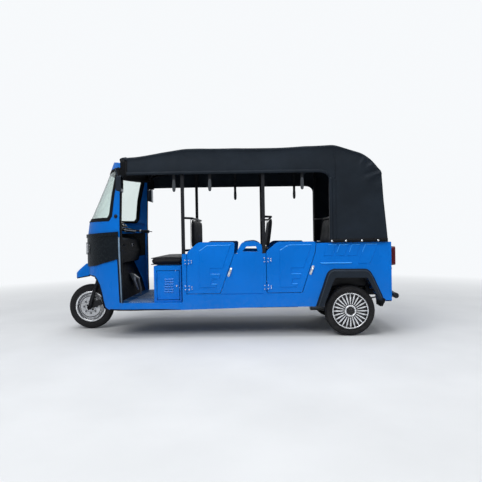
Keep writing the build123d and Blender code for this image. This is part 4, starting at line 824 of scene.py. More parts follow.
def ring_line(low, high, level, thin, inset=0.006, corner=0.03):
    """A rounded rectangle of points round a pad at a level of its thin axis."""
    axes = [k for k in range(3) if k != thin]
    a, b = axes
    points = []
    corners = ((high, high, 0), (low, high, 1), (low, low, 2), (high, low, 3))
    for end_a, end_b, quarter in corners:
        centre_a = end_a[a] + (-inset - corner if end_a is high else inset + corner)
        centre_b = end_b[b] + (-inset - corner if end_b is high else inset + corner)
        for k in range(5):
            turn = math.pi / 2 * (quarter + k / 4)
            point = Vector((0, 0, 0))
            point[a] = centre_a + corner * math.cos(turn)
            point[b] = centre_b + corner * math.sin(turn)
            point[thin] = level
            points.append(point)
    return points


def press_channels(obj, thin, across, places, depth, width):
    """Sewn channels pressed into a pad's faces across one axis."""
    middle = sum((Vector(c) for c in obj.bound_box), Vector()) / 8
    for vert in obj.data.vertices:
        dip = sum(depth * math.exp(-(((vert.co[across] - place) / width) ** 2)) for place in places)
        side = 1 if vert.co[thin] > middle[thin] else -1
        vert.co[thin] -= side * dip


DRIVER_PAD = ((-0.749, -0.447, 0.7185), (-0.425, 0.447, 0.8005))
BENCH_PADS = (
    ((0.094, -0.556, 0.662), (0.396, 0.556, 0.746)), ((0.794, -0.556, 0.662), (1.096, 0.556, 0.746))
)


def seat_pad(name, low, high, channels, crown=0.016, corner=0.028):
    """A seat cushion with piping round its upper and lower edge and sewn channels."""
    mesh = pad_form(name, low, high, crown, corner)
    obj = piece(name, mesh, "seat_vinyl")
    inflate(obj, 0.012, 0.006)
    press_channels(obj, 2, 1, channels, 0.005, 0.009)
    for polygon in obj.data.polygons:
        polygon.use_smooth = True
    subdivide(obj, 1)
    for word, level in (("high", high[2] - crown - 0.004), ("low", low[2] + crown + 0.002)):
        line = ring_line(Vector(low), Vector(high), level, 2, -0.001)
        tube(name + "_piping_" + word, line, 0.0035, "seat_vinyl", closed=True)
    return obj


driver_pad = seat_pad("driver_seat_pad", *DRIVER_PAD, (-0.15, 0.15), 0.007, 0.036)
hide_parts("driver_cushion")
for word, (low, high) in zip(("middle", "rear"), BENCH_PADS):
    bench_pad = seat_pad("bench_pad_" + word, low, high, (-0.37, 0, 0.37))
    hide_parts("bench_cushions")

# Backrests: foot and head of the pad's middle line in x, z, and half width
REST_ROWS = (
    ("front", -0.318, -0.318, 0.430),
    ("middle", 0.452, 0.492, 0.470),
    ("rear", 1.117, 1.157, 0.470),
)
REST_LOW, REST_HIGH, REST_DEPTH = 0.882, 1.182, 0.040
for word, low_x, high_x, half in REST_ROWS:
    middle_x = (low_x + high_x) / 2
    low = (middle_x - REST_DEPTH / 2, -half + 0.003, REST_LOW)
    high = (middle_x + REST_DEPTH / 2, half - 0.003, REST_HIGH)
    name = "backrest_pad_" + word
    form = pad_form(name, low, high, 0.010, 0.018, (4, 30, 10))
    obj = piece(name, form, "backrest_vinyl")
    inflate(obj, 0.011, 0.004)
    press_channels(obj, 0, 1, (-half / 3, half / 3), 0.004, 0.008)
    lean = (high_x - low_x) / (REST_HIGH - REST_LOW)
    for vert in obj.data.vertices:
        vert.co.x += lean * (vert.co.z - (REST_LOW + REST_HIGH) / 2)
    for polygon in obj.data.polygons:
        polygon.use_smooth = True
    subdivide(obj, 1)
    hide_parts("backrests")
    bead = ring_line(Vector(low), Vector(high), low[0] + 0.004, 0, -0.0005, 0.02)
    for point in bead:
        point.x += lean * (point.z - (REST_LOW + REST_HIGH) / 2)
    tube("backrest_piping_" + word, bead, 0.003, "seat_vinyl", closed=True)

# Hanging grab straps
STRAP_ROWS = ((-0.471, -1), (-0.115, -1), (0.796, -1), (0.092, 1), (0.821, 1))
STRAP_Y = 0.599
TUBE = 0.032
CLOTH_GAP = 0.0103
HANDLE_LOW, WEB_LOW = 1.452, 1.556
handles, webs, strap_bolts = [], [], []
for index, (x, side) in enumerate(STRAP_ROWS):
    rail_low = along(ROOF_LINE, x) - CLOTH_GAP - TUBE
    y = side * STRAP_Y
    profile = (
        (0, 0.4), (0.008, 0.75), (0.022, 0.93), (0.060, 1.0), (0.094, 0.93), (0.112, 0.72), (0.122, 0.45)
    )
    points = []
    for up_z, grow in profile:
        for k in range(16):
            cx, cy = rounded(2 * math.pi * k / 16, 0.6)
            points.append(Vector((x + 0.018 * grow * cx, y + 0.0105 * grow * cy, HANDLE_LOW + up_z)))
    faces = [f[::-1] for f in grid_faces(len(profile), 16, wrap_columns=True)]
    faces += [tuple(range(16)), tuple(range(len(points) - 16, len(points)))[::-1]]
    handles.append((points, faces))
    web_points, sway = [], 0.002 * math.sin(index * 2.3)
    for k in range(13):
        z = WEB_LOW + (rail_low - WEB_LOW) * k / 12
        bow = sway * math.sin(math.pi * k / 12)
        for dx, dy in ((-0.0145, -0.002), (0.0145, -0.002), (0.0145, 0.002), (-0.0145, 0.002)):
            web_points.append(Vector((x + dx, y + dy + bow, z)))
    web_faces = [f[::-1] for f in grid_faces(13, 4, wrap_columns=True)] + [(0, 1, 2, 3), (51, 50, 49, 48)]
    webs.append((web_points, web_faces))
    strap_bolts.append(dome_bolt((x, y + side * 0.002, rail_low - 0.018), (0, side, 0), 0.0085, 0.006))
strap_handles = many("strap_handles", handles, "strap_grip")
subdivide(strap_handles, 1)
strap_webs = many("strap_webs", webs, "webbing", smooth=False)
many("strap_bolts", strap_bolts, "trim_silver")
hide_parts("hanging_straps")
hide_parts("hanging_straps")

# Tyres
TYRE_RADIUS = 0.248
# Walls from the bead up to the shoulder: distance in from the widest place, radius
REAR_WALL = (
    (-0.0180, 0.1785),
    (0.0000, 0.1772),
    (0.0008, 0.1790),
    (-0.0004, 0.1835),
    (-0.0090, 0.1895),
    (-0.0070, 0.1925),
    (-0.0055, 0.1965),
    (-0.0045, 0.1970),
    (-0.0025, 0.2025),
    (-0.0010, 0.2095),
    (0.0, 0.2155),
    (-0.0015, 0.2225),
    (-0.0040, 0.2285),
    (-0.0035, 0.2295),
    (-0.0090, 0.2365),
    (-0.0120, 0.2388),
)
FRONT_WALL = (
    (-0.0064, 0.1700),
    (-0.0058, 0.1716),
    (-0.0050, 0.1745),
    (-0.0046, 0.1800),
    (-0.0040, 0.1865),
    (-0.0028, 0.1900),
    (-0.0024, 0.1945),
    (-0.0014, 0.1955),
    (-0.0004, 0.2060),
    (0.0, 0.2145),
    (-0.0018, 0.2225),
    (-0.0042, 0.2285),
    (-0.0036, 0.2295),
    (-0.0090, 0.2360),
    (-0.0120, 0.2388),
)


def tyre_mesh(name, centre, width, blocks, outward, side_wall):
    """A tyre with a ribbed, siped tread and ringed walls."""
    half = width / 2
    wall = [(half + inward, radius) for inward, radius in side_wall]
    crown_steps = 30
    crown = []
    for k in range(1, crown_steps):
        t = 1 - 2 * k / crown_steps
        y = t * (half - 0.012)
        crown.append((y, TYRE_RADIUS - 0.0092 * abs(t) ** 2.2))
    profile = wall + crown + [(-y, r) for y, r in reversed(wall)]
    steps = blocks * 6
    points = []
    for k in range(steps):
        turn = 2 * math.pi * k / steps
        for index, (y, r) in enumerate(profile):
            depth = 0
            if len(wall) - 1 <= index <= len(wall) + crown_steps - 1:
                t = y / (half - 0.012)
                rib = min(abs(abs(t) - 0.30), abs(abs(t) - 0.66))
                if rib < 0.045:
                    depth = 0.006
                phase = (k + (2 if t > 0 else 0) + abs(t) * 3) % 6
                if abs(t) > 0.36 and phase < 1.0:
                    depth = max(depth, 0.0045)
                if abs(t) < 0.25 and (k + t * 9) % 6 < 1.0:
                    depth = max(depth, 0.003)
            r -= depth
            points.append(
                Vector(
                    (
                        centre[0] + r * math.cos(turn), centre[1] + outward * y,
                        TYRE_RADIUS + r * math.sin(turn),
                    )
                )
            )
    faces = grid_faces(steps, len(profile), wrap_rows=True, wrap_columns=True)
    if outward > 0:
        faces = [f[::-1] for f in faces]
    return mesh_from(name, points, faces)


FRONT_AXLE_X, REAR_AXLE_X, TRACK_HALF = -1.518, 1.252, 0.540
for name, x, y, width, blocks, outward, side_wall, body in (
    ("front_tread", FRONT_AXLE_X, 0, 0.100, 44, -1, FRONT_WALL, "front_wheel"),
    ("rear_tread_left", REAR_AXLE_X, -TRACK_HALF, 0.112, 48, -1, REAR_WALL, "rear_wheel_left"),
    ("rear_tread_right", REAR_AXLE_X, TRACK_HALF, 0.112, 48, 1, REAR_WALL, "rear_wheel_right"),
):
    tread = piece(name, tyre_mesh(name, (x, y), width, blocks, outward, side_wall), "tyre_rubber", body)
    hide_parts(name.replace("tread", "tyre"))

# Small forms


def ring_form(profile, centre, axis, steps=48):
    """A closed ring turned round an axis: profile as a loop of (distance along the axis, radius)."""
    points, _ = lathe(profile, centre, axis, steps)
    return points, [
        face[::-1] for face in grid_faces(len(profile), steps, wrap_rows=True, wrap_columns=True)
    ]


def plate_form(centre, along_u, along_v, half_u, half_v, thickness, corner=0.008, dome=0.0):
    """A thin plate with rounded corners and a softened rim, spanned by two directions."""
    centre, u, v = Vector(centre), Vector(along_u).normalized(), Vector(along_v).normalized()
    normal = u.cross(v).normalized()
    rim = []
    for sign_u, sign_v, quarter in ((1, 1, 0), (-1, 1, 1), (-1, -1, 2), (1, -1, 3)):
        for k in range(6):
            turn = math.pi / 2 * (quarter + k / 5)
            a = sign_u * (half_u - corner) + corner * math.cos(turn)
            b = sign_v * (half_v - corner) + corner * math.sin(turn)
            rim.append((a, b))
    levels = ((0.0, 1.0), (thickness * 0.7, 1.0), (thickness, 0.985), (thickness + dome, 0.8))
    points = []
    for level, scale in levels:
        for a, b in rim:
            points.append(centre + u * a * scale + v * b * scale + normal * level)
    count = len(rim)
    faces = [face[::-1] for face in grid_faces(len(levels), count, wrap_columns=True)]
    faces.append(tuple(range(count))[::-1])
    faces.append(tuple(range(len(points) - count, len(points))))
    return points, faces


def screw(centre, axis, radius=0.0056, height=0.0026):
    """A pan-head screw with a recess in its head."""
    profile = [
        (-0.0008, radius),
        (height * 0.5, radius),
        (height * 0.85, radius * 0.86),
        (height, radius * 0.6),
        (height, radius * 0.42),
        (height * 0.45, radius * 0.36),
    ]
    return lathe(profile, centre, axis, 12)


def hex_bolt(centre, axis, radius=0.008, height=0.006):
    """A hexagon head on a round washer."""
    points, faces = lathe([(-0.001, radius * 1.3), (height * 0.25, radius * 1.3)], centre, axis, 18)
    profile = [(height * 0.2, radius), (height * 0.9, radius), (height, radius * 0.86)]
    head, head_faces = lathe(profile, centre, axis, 6)
    return points + head, faces + [tuple(len(points) + k for k in face) for face in head_faces]


# Floor and cab
FLOOR_TOP = 0.355
FLOOR_FREE = (-0.960, 0.752, 0.575)
FLOOR_TAKEN = ((-0.706, -0.408, 0.582), (0.080, 0.410, 0.550))
TREAD_PITCH = 0.026
# A tread lozenge as points along, across, and whether on top
DIAMOND = ((0.0110, 0, 0), (0, 0.0036, 0), (-0.0110, 0, 0), (0, -0.0036, 0), (0.005, 0, 1), (-0.005, 0, 1))
DIAMOND_FACES = ((0, 1, 4), (1, 5, 4), (1, 2, 5), (2, 3, 5), (3, 4, 5), (3, 0, 4), (3, 2, 1, 0))
diamonds = []
rows = int((FLOOR_FREE[1] - FLOOR_FREE[0]) / TREAD_PITCH)
columns = int(2 * FLOOR_FREE[2] / TREAD_PITCH)
for i in range(rows):
    for j in range(columns):
        x = FLOOR_FREE[0] + (i + 0.5) * TREAD_PITCH
        y = -FLOOR_FREE[2] + (j + 0.5) * TREAD_PITCH
        if any(low - 0.012 < x < high + 0.012 and abs(y) < half + 0.012 for low, high, half in FLOOR_TAKEN):
            continue
        turn = math.pi / 4 if (i + j) % 2 else -math.pi / 4
        c, s = math.cos(turn), math.sin(turn)
        points = [
            Vector((x + a * c - b * s, y + a * s + b * c, FLOOR_TOP + (0.0017 if top else -0.0002)))
            for a, b, top in DIAMOND
        ]
        diamonds.append((points, DIAMOND_FACES))
many("floor_diamonds", diamonds, "bare_alloy", smooth=False)

# Door-post trims lean back towards the floor on both sides of the cab; their grey-blue is a painted
# reflection of the sky on a rounded post. Ahead of each, a black strip is a painted shadow line.
NOSE_CENTRE_X = -0.8793
NOSE_RADIUS = 0.6312
POST_TRIM = (
    (-1.0285, 1.012, 0.0085), (-1.0250, 0.880, 0.0080), (-1.0170, 0.600, 0.0065), (-1.0105, 0.362, 0.0055)
)
# Black strip ahead of each trim, as x and z along its run: painted shadow line
POST_SHADE_LINE = ((-1.0455, 1.040), (-1.0425, 0.880), (-1.0335, 0.600), (-1.0245, 0.362))
for side, word in SIDES:
    points = []
    for x, z, half in POST_TRIM:
        for dx, dy in ((-half, 0.0), (0.0005 - half, 0.0035), (half - 0.0005, 0.0035), (half, 0.0)):
            points.append(Vector((x + dx, side * (0.6165 + dy), z)))
    band("post_trim_" + word, points, 4, "post_trim", 0.002)
    points = []
    for x, z in POST_SHADE_LINE:
        for dx in (-0.0085, -0.003, 0.003, 0.0085):
            y = math.sqrt((NOSE_RADIUS + 0.0008) ** 2 - (x + dx - NOSE_CENTRE_X) ** 2)
            points.append(Vector((x + dx, side * y, z)))
    band("post_shade_line_" + word, points, 4, "seal_rubber", 0.0016)

# Windscreen surface: front x, rear x and half width at its foot, and how far each moves up to its head
SCREEN_LOW, SCREEN_RISE = 1.178, 0.642
SCREEN_FOOT = (-1.490, -1.010, 0.617)
SCREEN_LEAN = (0.303, 0.018, -0.011)


def screen_shape(z):
    t = (z - SCREEN_LOW) / SCREEN_RISE
    return [foot + lean * t for foot, lean in zip(SCREEN_FOOT, SCREEN_LEAN)]


# Rubber along the posts' rear faces, and a black strip under the cab's sill
SEAL_LOW, SEAL_HIGH = 0.360, 1.690
SEAL_ZS = [SEAL_LOW + (SCREEN_LOW - SEAL_LOW) * k / 6 for k in range(7)]
SEAL_ZS += [SCREEN_LOW + (SEAL_HIGH - SCREEN_LOW) * k / 6 for k in range(1, 7)]
for side, word in SIDES:
    points = []
    for z in SEAL_ZS:
        _, rear, half = screen_shape(max(z, SCREEN_LOW))
        x, y = rear + 0.0005, half - 0.0005
        points += [Vector((x - 0.0075, side * (y + 0.0012), z)), Vector((x, side * (y + 0.0010), z))]
        points += [Vector((x + 0.0025, side * (y - 0.006), z)), Vector((x + 0.0015, side * (y - 0.050), z))]
    band("post_seal_" + word, points, 4, "seal_rubber", 0.0016)
    points = []
    for k in range(15):
        x = -1.140 + (-0.420 + 1.140) * k / 14
        y = math.sqrt(NOSE_RADIUS**2 - (x - NOSE_CENTRE_X) ** 2) + 0.0006
        y = max(y, 0.6206 if x > -1.060 else 0)
        height = 0.012 * (1 - 0.7 * eased((x + 0.62) / 0.2))
        for inward, z in ((0.012, 0.2845), (0, 0.2835), (0, 0.2835 + height)):
            points.append(Vector((x, side * (y - inward), z)))
    band("sill_strip_" + word, points, 3, "seal_rubber", 0.0014)

# Side repeater lamps at the foot of the pillars
repeater_forms = []
REPEATER_RING = (
    (-0.001, 0.019), (0.006, 0.019), (0.009, 0.0160), (0.0095, 0.013), (0.013, 0.008), (0.014, 0.001)
)
for side in (-1, 1):
    place = (-1.056, side * 0.6010, 1.222)
    repeater_forms.append(lathe(REPEATER_RING, place, (-0.33, side * 0.944, 0), 24))
many("side_repeaters", repeater_forms, "black_gloss")

# Lamps
BAND_RADIUS = 0.6407
LAMP_Y, LAMP_Z = 0.270, 0.900


def nose_point(radius, y, z):
    """A place on the curved cab front at a radius about the nose's centre line."""
    return Vector((NOSE_CENTRE_X - math.sqrt(radius * radius - y * y), y, z))


for side, word in SIDES:
    columns, rows = 45, 25
    points = []
    for i in range(rows):
        v = 2 * i / (rows - 1) - 1
        for j in range(columns):
            u = 2 * j / (columns - 1) - 1
            squeeze = 1 - 0.10 * abs(v) ** 6
            y = side * LAMP_Y + 0.086 * u * squeeze
            z = LAMP_Z + 0.052 * v * (1 - 0.08 * abs(u) ** 6)
            bowls = 0
            for bowl in (-0.48, 0.48):
                off = math.hypot((u - bowl) * 0.086, v * 0.052)
                bowls = max(bowls, 1 - (off / 0.034) ** 2)
            flute = 0.0007 * math.sin(u * 40) * (bowls <= 0)
            points.append(nose_point(BAND_RADIUS + 0.0062 + flute - 0.0052 * max(0, bowls), y, z))
    band("lamp_reflector_" + word, points, columns, "trim_silver", 0.0006)
    lip_points = []
    for k in range(64):
        a, b = rounded(2 * math.pi * k / 64, 0.45)
        lip_points.append(nose_point(BAND_RADIUS + 0.0095, side * LAMP_Y + 0.0955 * a, LAMP_Z + 0.0605 * b))
    tube("lamp_bezel_" + word, lip_points, 0.0032, "black_gloss", closed=True)

TAIL_LAMP_Y, TAIL_LAMP_Z = 0.555, 0.785
LAMP_FACE_X, PANEL_FACE_X = 1.698, 1.652
tail_bars = []
for side in (-1, 1):
    for z in (0.722, 0.753, 0.817, 0.848):
        place = (LAMP_FACE_X - 0.0012, side * TAIL_LAMP_Y, z)
        tail_bars.append(plate_form(place, (0, 1, 0), (0, 0, 1), 0.036, 0.0035, 0.003, 0.003))
many("tail_lamp_ribs", tail_bars, "lamp_red")
for side, word in SIDES:
    line = []
    for k in range(56):
        a, b = rounded(2 * math.pi * k / 56, 0.4)
        y, z = side * TAIL_LAMP_Y + 0.0475 * a, TAIL_LAMP_Z + 0.0975 * b
        line.append(Vector((PANEL_FACE_X + 0.0025, y, z)))
    tube("tail_lamp_rim_" + word, line, 0.0035, "seal_rubber", closed=True)
REFLEX = ((0, 0.019), (0.012, 0.019), (0.016, 0.017), (0.018, 0.012), (0.0185, 0.002))
reflex = [lathe(REFLEX, (PANEL_FACE_X, side * TAIL_LAMP_Y, 0.662), (1, 0, 0), 24) for side in (-1, 1)]
many("rear_reflectors", reflex, "lamp_red")

# Beak and arch edging
BEAK_TIP_X, BEAK_WIDE_X, BEAK_ROOT_X = -1.677, -1.560, -1.484
BEAK_HALF, BEAK_FRONT_SHARE = 0.140, 0.72


def beak_low(x):
    return 0.570 + 0.042 * (x - BEAK_TIP_X) / 0.237


beak_edge = []
for k in range(-24, 25):
    t = k / 24
    if abs(t) < BEAK_FRONT_SHARE:
        y = BEAK_HALF * t / BEAK_FRONT_SHARE
        x = BEAK_TIP_X + (BEAK_WIDE_X - BEAK_TIP_X) * (y / BEAK_HALF) ** 2
    else:
        grow = (abs(t) - BEAK_FRONT_SHARE) / (1 - BEAK_FRONT_SHARE)
        x = BEAK_WIDE_X + (BEAK_ROOT_X - BEAK_WIDE_X) * grow
        y = math.copysign(BEAK_HALF + 0.038 * (x - BEAK_WIDE_X) / 0.120, t)
    beak_edge.append(Vector((x + 0.003, y, beak_low(x) - 0.004)))
tube("beak_edging", beak_edge, 0.0062, "seal_rubber")
ARCH_RADIUS = 0.6275
ARCH_EDGE = (
    (-1.178, 0.299), (-1.196, 0.312), (-1.213, 0.369), (-1.233, 0.455), (-1.260, 0.534), (-1.300, 0.592),
    (-1.335, 0.620), (-1.470, 0.6255),
)
for side, word in SIDES:
    line = []
    for (x0, z0), (x1, z1) in zip(ARCH_EDGE, ARCH_EDGE[1:]):
        for k in range(4):
            x, z = x0 + (x1 - x0) * k / 4, z0 + (z1 - z0) * k / 4
            y = math.sqrt(ARCH_RADIUS**2 - (x - NOSE_CENTRE_X) ** 2)
            line.append(Vector((x, side * y, z)))
    tube("arch_edging_" + word, line, 0.0040, "seal_rubber")
    skirt = [line[0] + Vector((0, 0, -0.010))] + line[1:]
    points = []
    for place, ahead_place in zip(skirt, skirt[1:] + [skirt[-1] * 2 - skirt[-2]]):
        run = (ahead_place - place).normalized()
        into = Vector((-run.z, 0, run.x)) if run.z > 0 else Vector((run.z, 0, -run.x))
        inner = Vector((0, -side * 0.010, 0))
        points += [place + inner - into * 0.010, place + inner + into * 0.024]
    band("arch_liner_" + word, points, 2, "seal_rubber", 0.003)

# Wheels: turned forms as distance along the axle, radius
HUB_CAP = (
    (-0.002, 0.0395), (0.005, 0.0395), (0.0065, 0.036), (0.0055, 0.033),
    (0.0055, 0.024), (0.009, 0.021), (0.011, 0.012), (0.0115, 0.002),
)
HUB_COLLAR = (
    (-0.001, 0.041), (0.003, 0.0415), (0.0055, 0.046), (0.0055, 0.052), (0.003, 0.0565), (-0.001, 0.0575)
)
ROLLED_RIM = (
    (-0.001, 0.1665), (0.0012, 0.1672), (0.0026, 0.170),
    (0.0026, 0.1735), (0.0014, 0.1762), (-0.001, 0.1768),
)
# Thin black ring on the hub face: painted shade of a groove
HUB_SHADE_RING = ((0.0004, 0.0600), (0.0008, 0.0605), (0.0008, 0.0655), (0.0004, 0.0660))
RIM_BEAD = ((0, 0.1525), (0.0014, 0.153), (0.0026, 0.157), (0.0028, 0.167), (0.0014, 0.1698), (0, 0.1705))
RIM_STEP = (
    (-0.006, 0.1235), (0.020, 0.1245), (0.0235, 0.1265), (0.0245, 0.130),
    (0.0235, 0.1355), (0.020, 0.1375), (-0.006, 0.1385),
)
HUB_RING = ((0, 0.028), (0.006, 0.0285), (0.007, 0.0295), (0.006, 0.031), (0, 0.0325))
for side, word in SIDES:
    body = "rear_wheel_" + word
    centre = (REAR_AXLE_X, side * 0.595, TYRE_RADIUS)
    cap = lathe(HUB_CAP, centre, (0, side, 0), 36)
    many("hub_cap_" + word, [cap], "rim_black", body)
    collar = ring_form(HUB_COLLAR, centre, (0, side, 0))
    rolled = ring_form(ROLLED_RIM, centre, (0, side, 0), 96)
    many("trim_rings_" + word, [collar, rolled], "trim_silver", body)
    # The dark ring is painted shade of a groove
    shade_ring = ring_form(HUB_SHADE_RING, (REAR_AXLE_X, side * 0.5951, TYRE_RADIUS), (0, side, 0))
    many("hub_shade_ring_" + word, [shade_ring], "rim_black", body)

front_rings = [
    ring_form(RIM_BEAD, (FRONT_AXLE_X, side * 0.043, TYRE_RADIUS), (0, side, 0), 96) for side in (-1, 1)
]
front_rings.append(ring_form(RIM_STEP, (FRONT_AXLE_X, 0, TYRE_RADIUS), (0, -1, 0), 96))
many("front_rim_beads", front_rings, "trim_silver", "front_wheel")
# Two thin dark rings on the brake disc: painted shade of the recesses round its rings
shade_rings = []
for r0, r1 in ((0.1125, 0.1205), (0.0590, 0.0625)):
    shape = ((0.0, r0), (0.0006, r0 + 0.0003), (0.0006, r1 - 0.0003), (0.0, r1))
    shade_rings.append(ring_form(shape, (FRONT_AXLE_X, -0.0500, TYRE_RADIUS), (0, -1, 0), 64))
many("disc_shade_rings", shade_rings, "steel_dark", "front_wheel")
CALIPER_RISE = math.radians(19)
caliper_out = Vector((math.cos(CALIPER_RISE), 0, math.sin(CALIPER_RISE)))
caliper_round = Vector((-math.sin(CALIPER_RISE), 0, math.cos(CALIPER_RISE)))
caliper_middle = Vector((FRONT_AXLE_X, -0.0665, TYRE_RADIUS)) + caliper_out * 0.122
cover = [plate_form(caliper_middle, caliper_out, caliper_round, 0.021, 0.034, 0.005, 0.008, 0.002)]
for shift in (-0.021, 0.021):
    place = caliper_middle + caliper_round * shift + Vector((0, -0.0055, 0))
    cover.append(hex_bolt(place, (0, -1, 0), 0.0065, 0.005))
many("caliper_cover", cover, "trim_silver", "steering")
lugs = []
for k in range(5):
    turn = 2 * math.pi * k / 5 + 0.3
    place = (FRONT_AXLE_X + 0.040 * math.cos(turn), -0.0495, TYRE_RADIUS + 0.040 * math.sin(turn))
    lugs.append(hex_bolt(place, (0, -1, 0), 0.0075, 0.007))
many("disc_bolts", lugs, "steel_dark", "front_wheel")
hub_ring = ring_form(HUB_RING, (FRONT_AXLE_X, -0.053, TYRE_RADIUS), (0, -1, 0), 32)
many("hub_ring", [hub_ring], "cast_metal", "front_wheel")
axle_nuts = [hex_bolt((FRONT_AXLE_X, s * 0.1165, TYRE_RADIUS), (0, s, 0), 0.013, 0.010) for s in (-1, 1)]
many("front_axle_nuts", axle_nuts, "steel_dark", "steering")

# Hinge screws and locks
HINGES = {"front": (-0.354, (0.500, 0.757)), "rear": (0.429, (0.498, 0.765))}
fixed_screws = []
for place, (hinge_x, hinge_zs) in HINGES.items():
    for side, word in SIDES:
        moving_screws = []
        for z in hinge_zs:
            for dz in (-0.017, 0.017):
                fixed_screws.append(screw((hinge_x - 0.017, side * 0.6228, z + dz), (0, side, 0)))
            for dx, dz in ((0.019, -0.016), (0.019, 0.016), (0.046, -0.010), (0.046, 0.010)):
                moving_screws.append(screw((hinge_x + dx, side * 0.6228, z + dz), (0, side, 0)))
        many(
            "hinge_screws_" + place + "_" + word, moving_screws, "trim_silver", "door_" + place + "_" + word
        )
many("hinge_screws_body", fixed_screws, "trim_silver")
LOCK_X, LOCK_Z = -0.465, 0.519
LOCK_FACE = ((0.004, 0.0085), (0.0062, 0.0085), (0.0062, 0.0060), (0.0045, 0.0058))
for side, word in SIDES:
    face = ring_form(LOCK_FACE, (LOCK_X, side * 0.5705, LOCK_Z), (0, side, 0), 24)
    place = (LOCK_X, side * 0.5748, LOCK_Z)
    slot_form = plate_form(place, (0, 0, side), (1, 0, 0), 0.0042, 0.0011, 0.0008, 0.0008)
    many("locker_lock_" + word, [face, slot_form], "trim_silver", "locker_door_" + word)

# Mirrors, instruments and controls
MIRROR_X, MIRROR_Y, MIRROR_Z = -0.9618, 0.695, 1.531
mirror_panes = []
for side in (-1, 1):
    place = (MIRROR_X, side * MIRROR_Y, MIRROR_Z)
    mirror_panes.append(plate_form(place, (0, 1, 0), (0, 0, 1), 0.041, 0.075, 0.0012, 0.019))
many("mirror_panes", mirror_panes, "mirror_glass", smooth=False)

POD_FOOT, POD_TOP = Vector((-1.118, 0, 1.1313)), Vector((-1.190, 0, 1.1933))
slope = (POD_TOP - POD_FOOT).normalized()
outward = Vector((0, 1, 0)).cross(slope)
if outward.z < 0:
    outward = -outward
face_middle = (POD_FOOT + POD_TOP) / 2
dial_screen = plate_form(
    face_middle - outward * 0.0004, slope.cross(outward), slope, 0.078, 0.036, 0.0018, 0.008
)
many("instrument_screen", [dial_screen], "black_gloss", "steering")
DIAL_RING = ((0, 0.0265), (0.0022, 0.0270), (0.0030, 0.0285), (0.0020, 0.0300), (0, 0.0305))
bezels = []
for dy in (-0.040, 0.040):
    dial_middle = face_middle + Vector((0, dy, 0))
    bezels.append(ring_form(DIAL_RING, dial_middle + outward * 0.001, outward, 36))
    for k in range(11):
        turn = math.radians(-130 + 26 * k)
        direction = slope * math.cos(turn) + Vector((0, 1, 0)) * math.sin(turn)
        mark = dial_middle + direction * 0.0215 + outward * 0.0013
        bezels.append(
            plate_form(mark, direction, direction.cross(outward) * -1, 0.0024, 0.0005, 0.0004, 0.0004)
        )
many("dial_rings", bezels, "trim_silver", "steering")

grip_ribs = []
for side in (-1, 1):
    end = Vector((-0.930, side * 0.330, 1.075))
    run = (Vector((-1.080, side * 0.330, 1.090)) - end).normalized()
    profile = [(0.001, 0.0172), (0.002, 0.0195), (0.006, 0.0195), (0.007, 0.0176)]
    for k in range(12):
        start = 0.011 + 0.0066 * k
        profile += [
            (start, 0.0176), (start + 0.0012, 0.0187), (start + 0.0038, 0.0187), (start + 0.0050, 0.0176)
        ]
    profile += [(0.0915, 0.0176), (0.0935, 0.0172)]
    grip_ribs.append(lathe(profile, end, run, 24))
many("grip_ribs", grip_ribs, "black_plastic", "steering")

PEDAL_HEAD, PEDAL_FOOT = Vector((-1.0675, 0.120, 0.5905)), Vector((-1.0065, 0.120, 0.5405))
pedal_run = (PEDAL_FOOT - PEDAL_HEAD).normalized()
pedal_out = Vector((0, -1, 0)).cross(pedal_run)
if pedal_out.z < 0:
    pedal_out = -pedal_out
ribs = []
for k in range(7):
    spot = PEDAL_HEAD + pedal_run * (0.010 + 0.0098 * k) + pedal_out * -0.0006
    ribs.append(plate_form(spot, pedal_out.cross(pedal_run), pedal_run, 0.026, 0.0027, 0.0034, 0.002))
many("pedal_ribs", ribs, "seal_rubber")

# Forged bracket that carries the pedal along the toe board
BRACKET = (
    (-1.128, 0.600), (-1.096, 0.606), (-1.058, 0.580), (-1.047, 0.548), (-1.046, 0.515), (-1.014, 0.412),
    (-1.034, 0.410), (-1.078, 0.500), (-1.094, 0.540),
)
points = []
for y, grow in ((0.111, 0.94), (0.1125, 1.0), (0.1175, 1.0), (0.119, 0.94)):
    for x, z in BRACKET:
        points.append(Vector((-1.070 + (x + 1.070) * grow, y, 0.520 + (z - 0.520) * grow)))
count = len(BRACKET)
faces = grid_faces(4, count, wrap_columns=True) + [
    tuple(range(count))[::-1], tuple(range(3 * count, 4 * count))
]
many("pedal_bracket", [(points, faces)], "bare_alloy")

# Dash: a column of switches and a lock
knobs = []
DASH_X, DASH_Z, DASH_AXIS = -1.0985, 0.925, (0.981, 0, 0.196)
KNOB = ((0, 0.013), (0.004, 0.013), (0.006, 0.0095), (0.013, 0.0085), (0.015, 0.006), (0.0155, 0.001))
LOCK_RING = ((0, 0.0095), (0.004, 0.0095), (0.006, 0.011), (0.006, 0.0135), (0, 0.0145))
for y in (-0.235, -0.195, -0.155, 0.215):
    knobs.append(lathe(KNOB, (DASH_X, y, DASH_Z), DASH_AXIS, 20))
many("dash_knobs", knobs, "black_gloss")
lock_ring = ring_form(LOCK_RING, (DASH_X, 0.170, DASH_Z), DASH_AXIS, 28)
many("dash_lock", [lock_ring], "trim_silver")

# Windscreen foot, a black sheet inside the header as painted shade under the roof, and canopy returns
def screen_point(y, z, lift):
    """A place on the raked windscreen surface, moved out or in along its normal."""
    front, rear, half = screen_shape(z)
    depth = rear - front
    radius = (depth * depth + half * half) / (2 * depth)
    centre = Vector((front + radius, 0, z))
    rim = Vector((front + radius - math.sqrt(radius * radius - y * y), y, z))
    return rim + ((rim - centre).normalized() + Vector((0, 0, 0.42))).normalized() * lift


foot_line = [screen_point(0.572 * k / 30, 1.183, -0.0035) for k in range(-30, 31)]
tube("screen_foot_strip", foot_line, 0.0095, "seal_rubber")

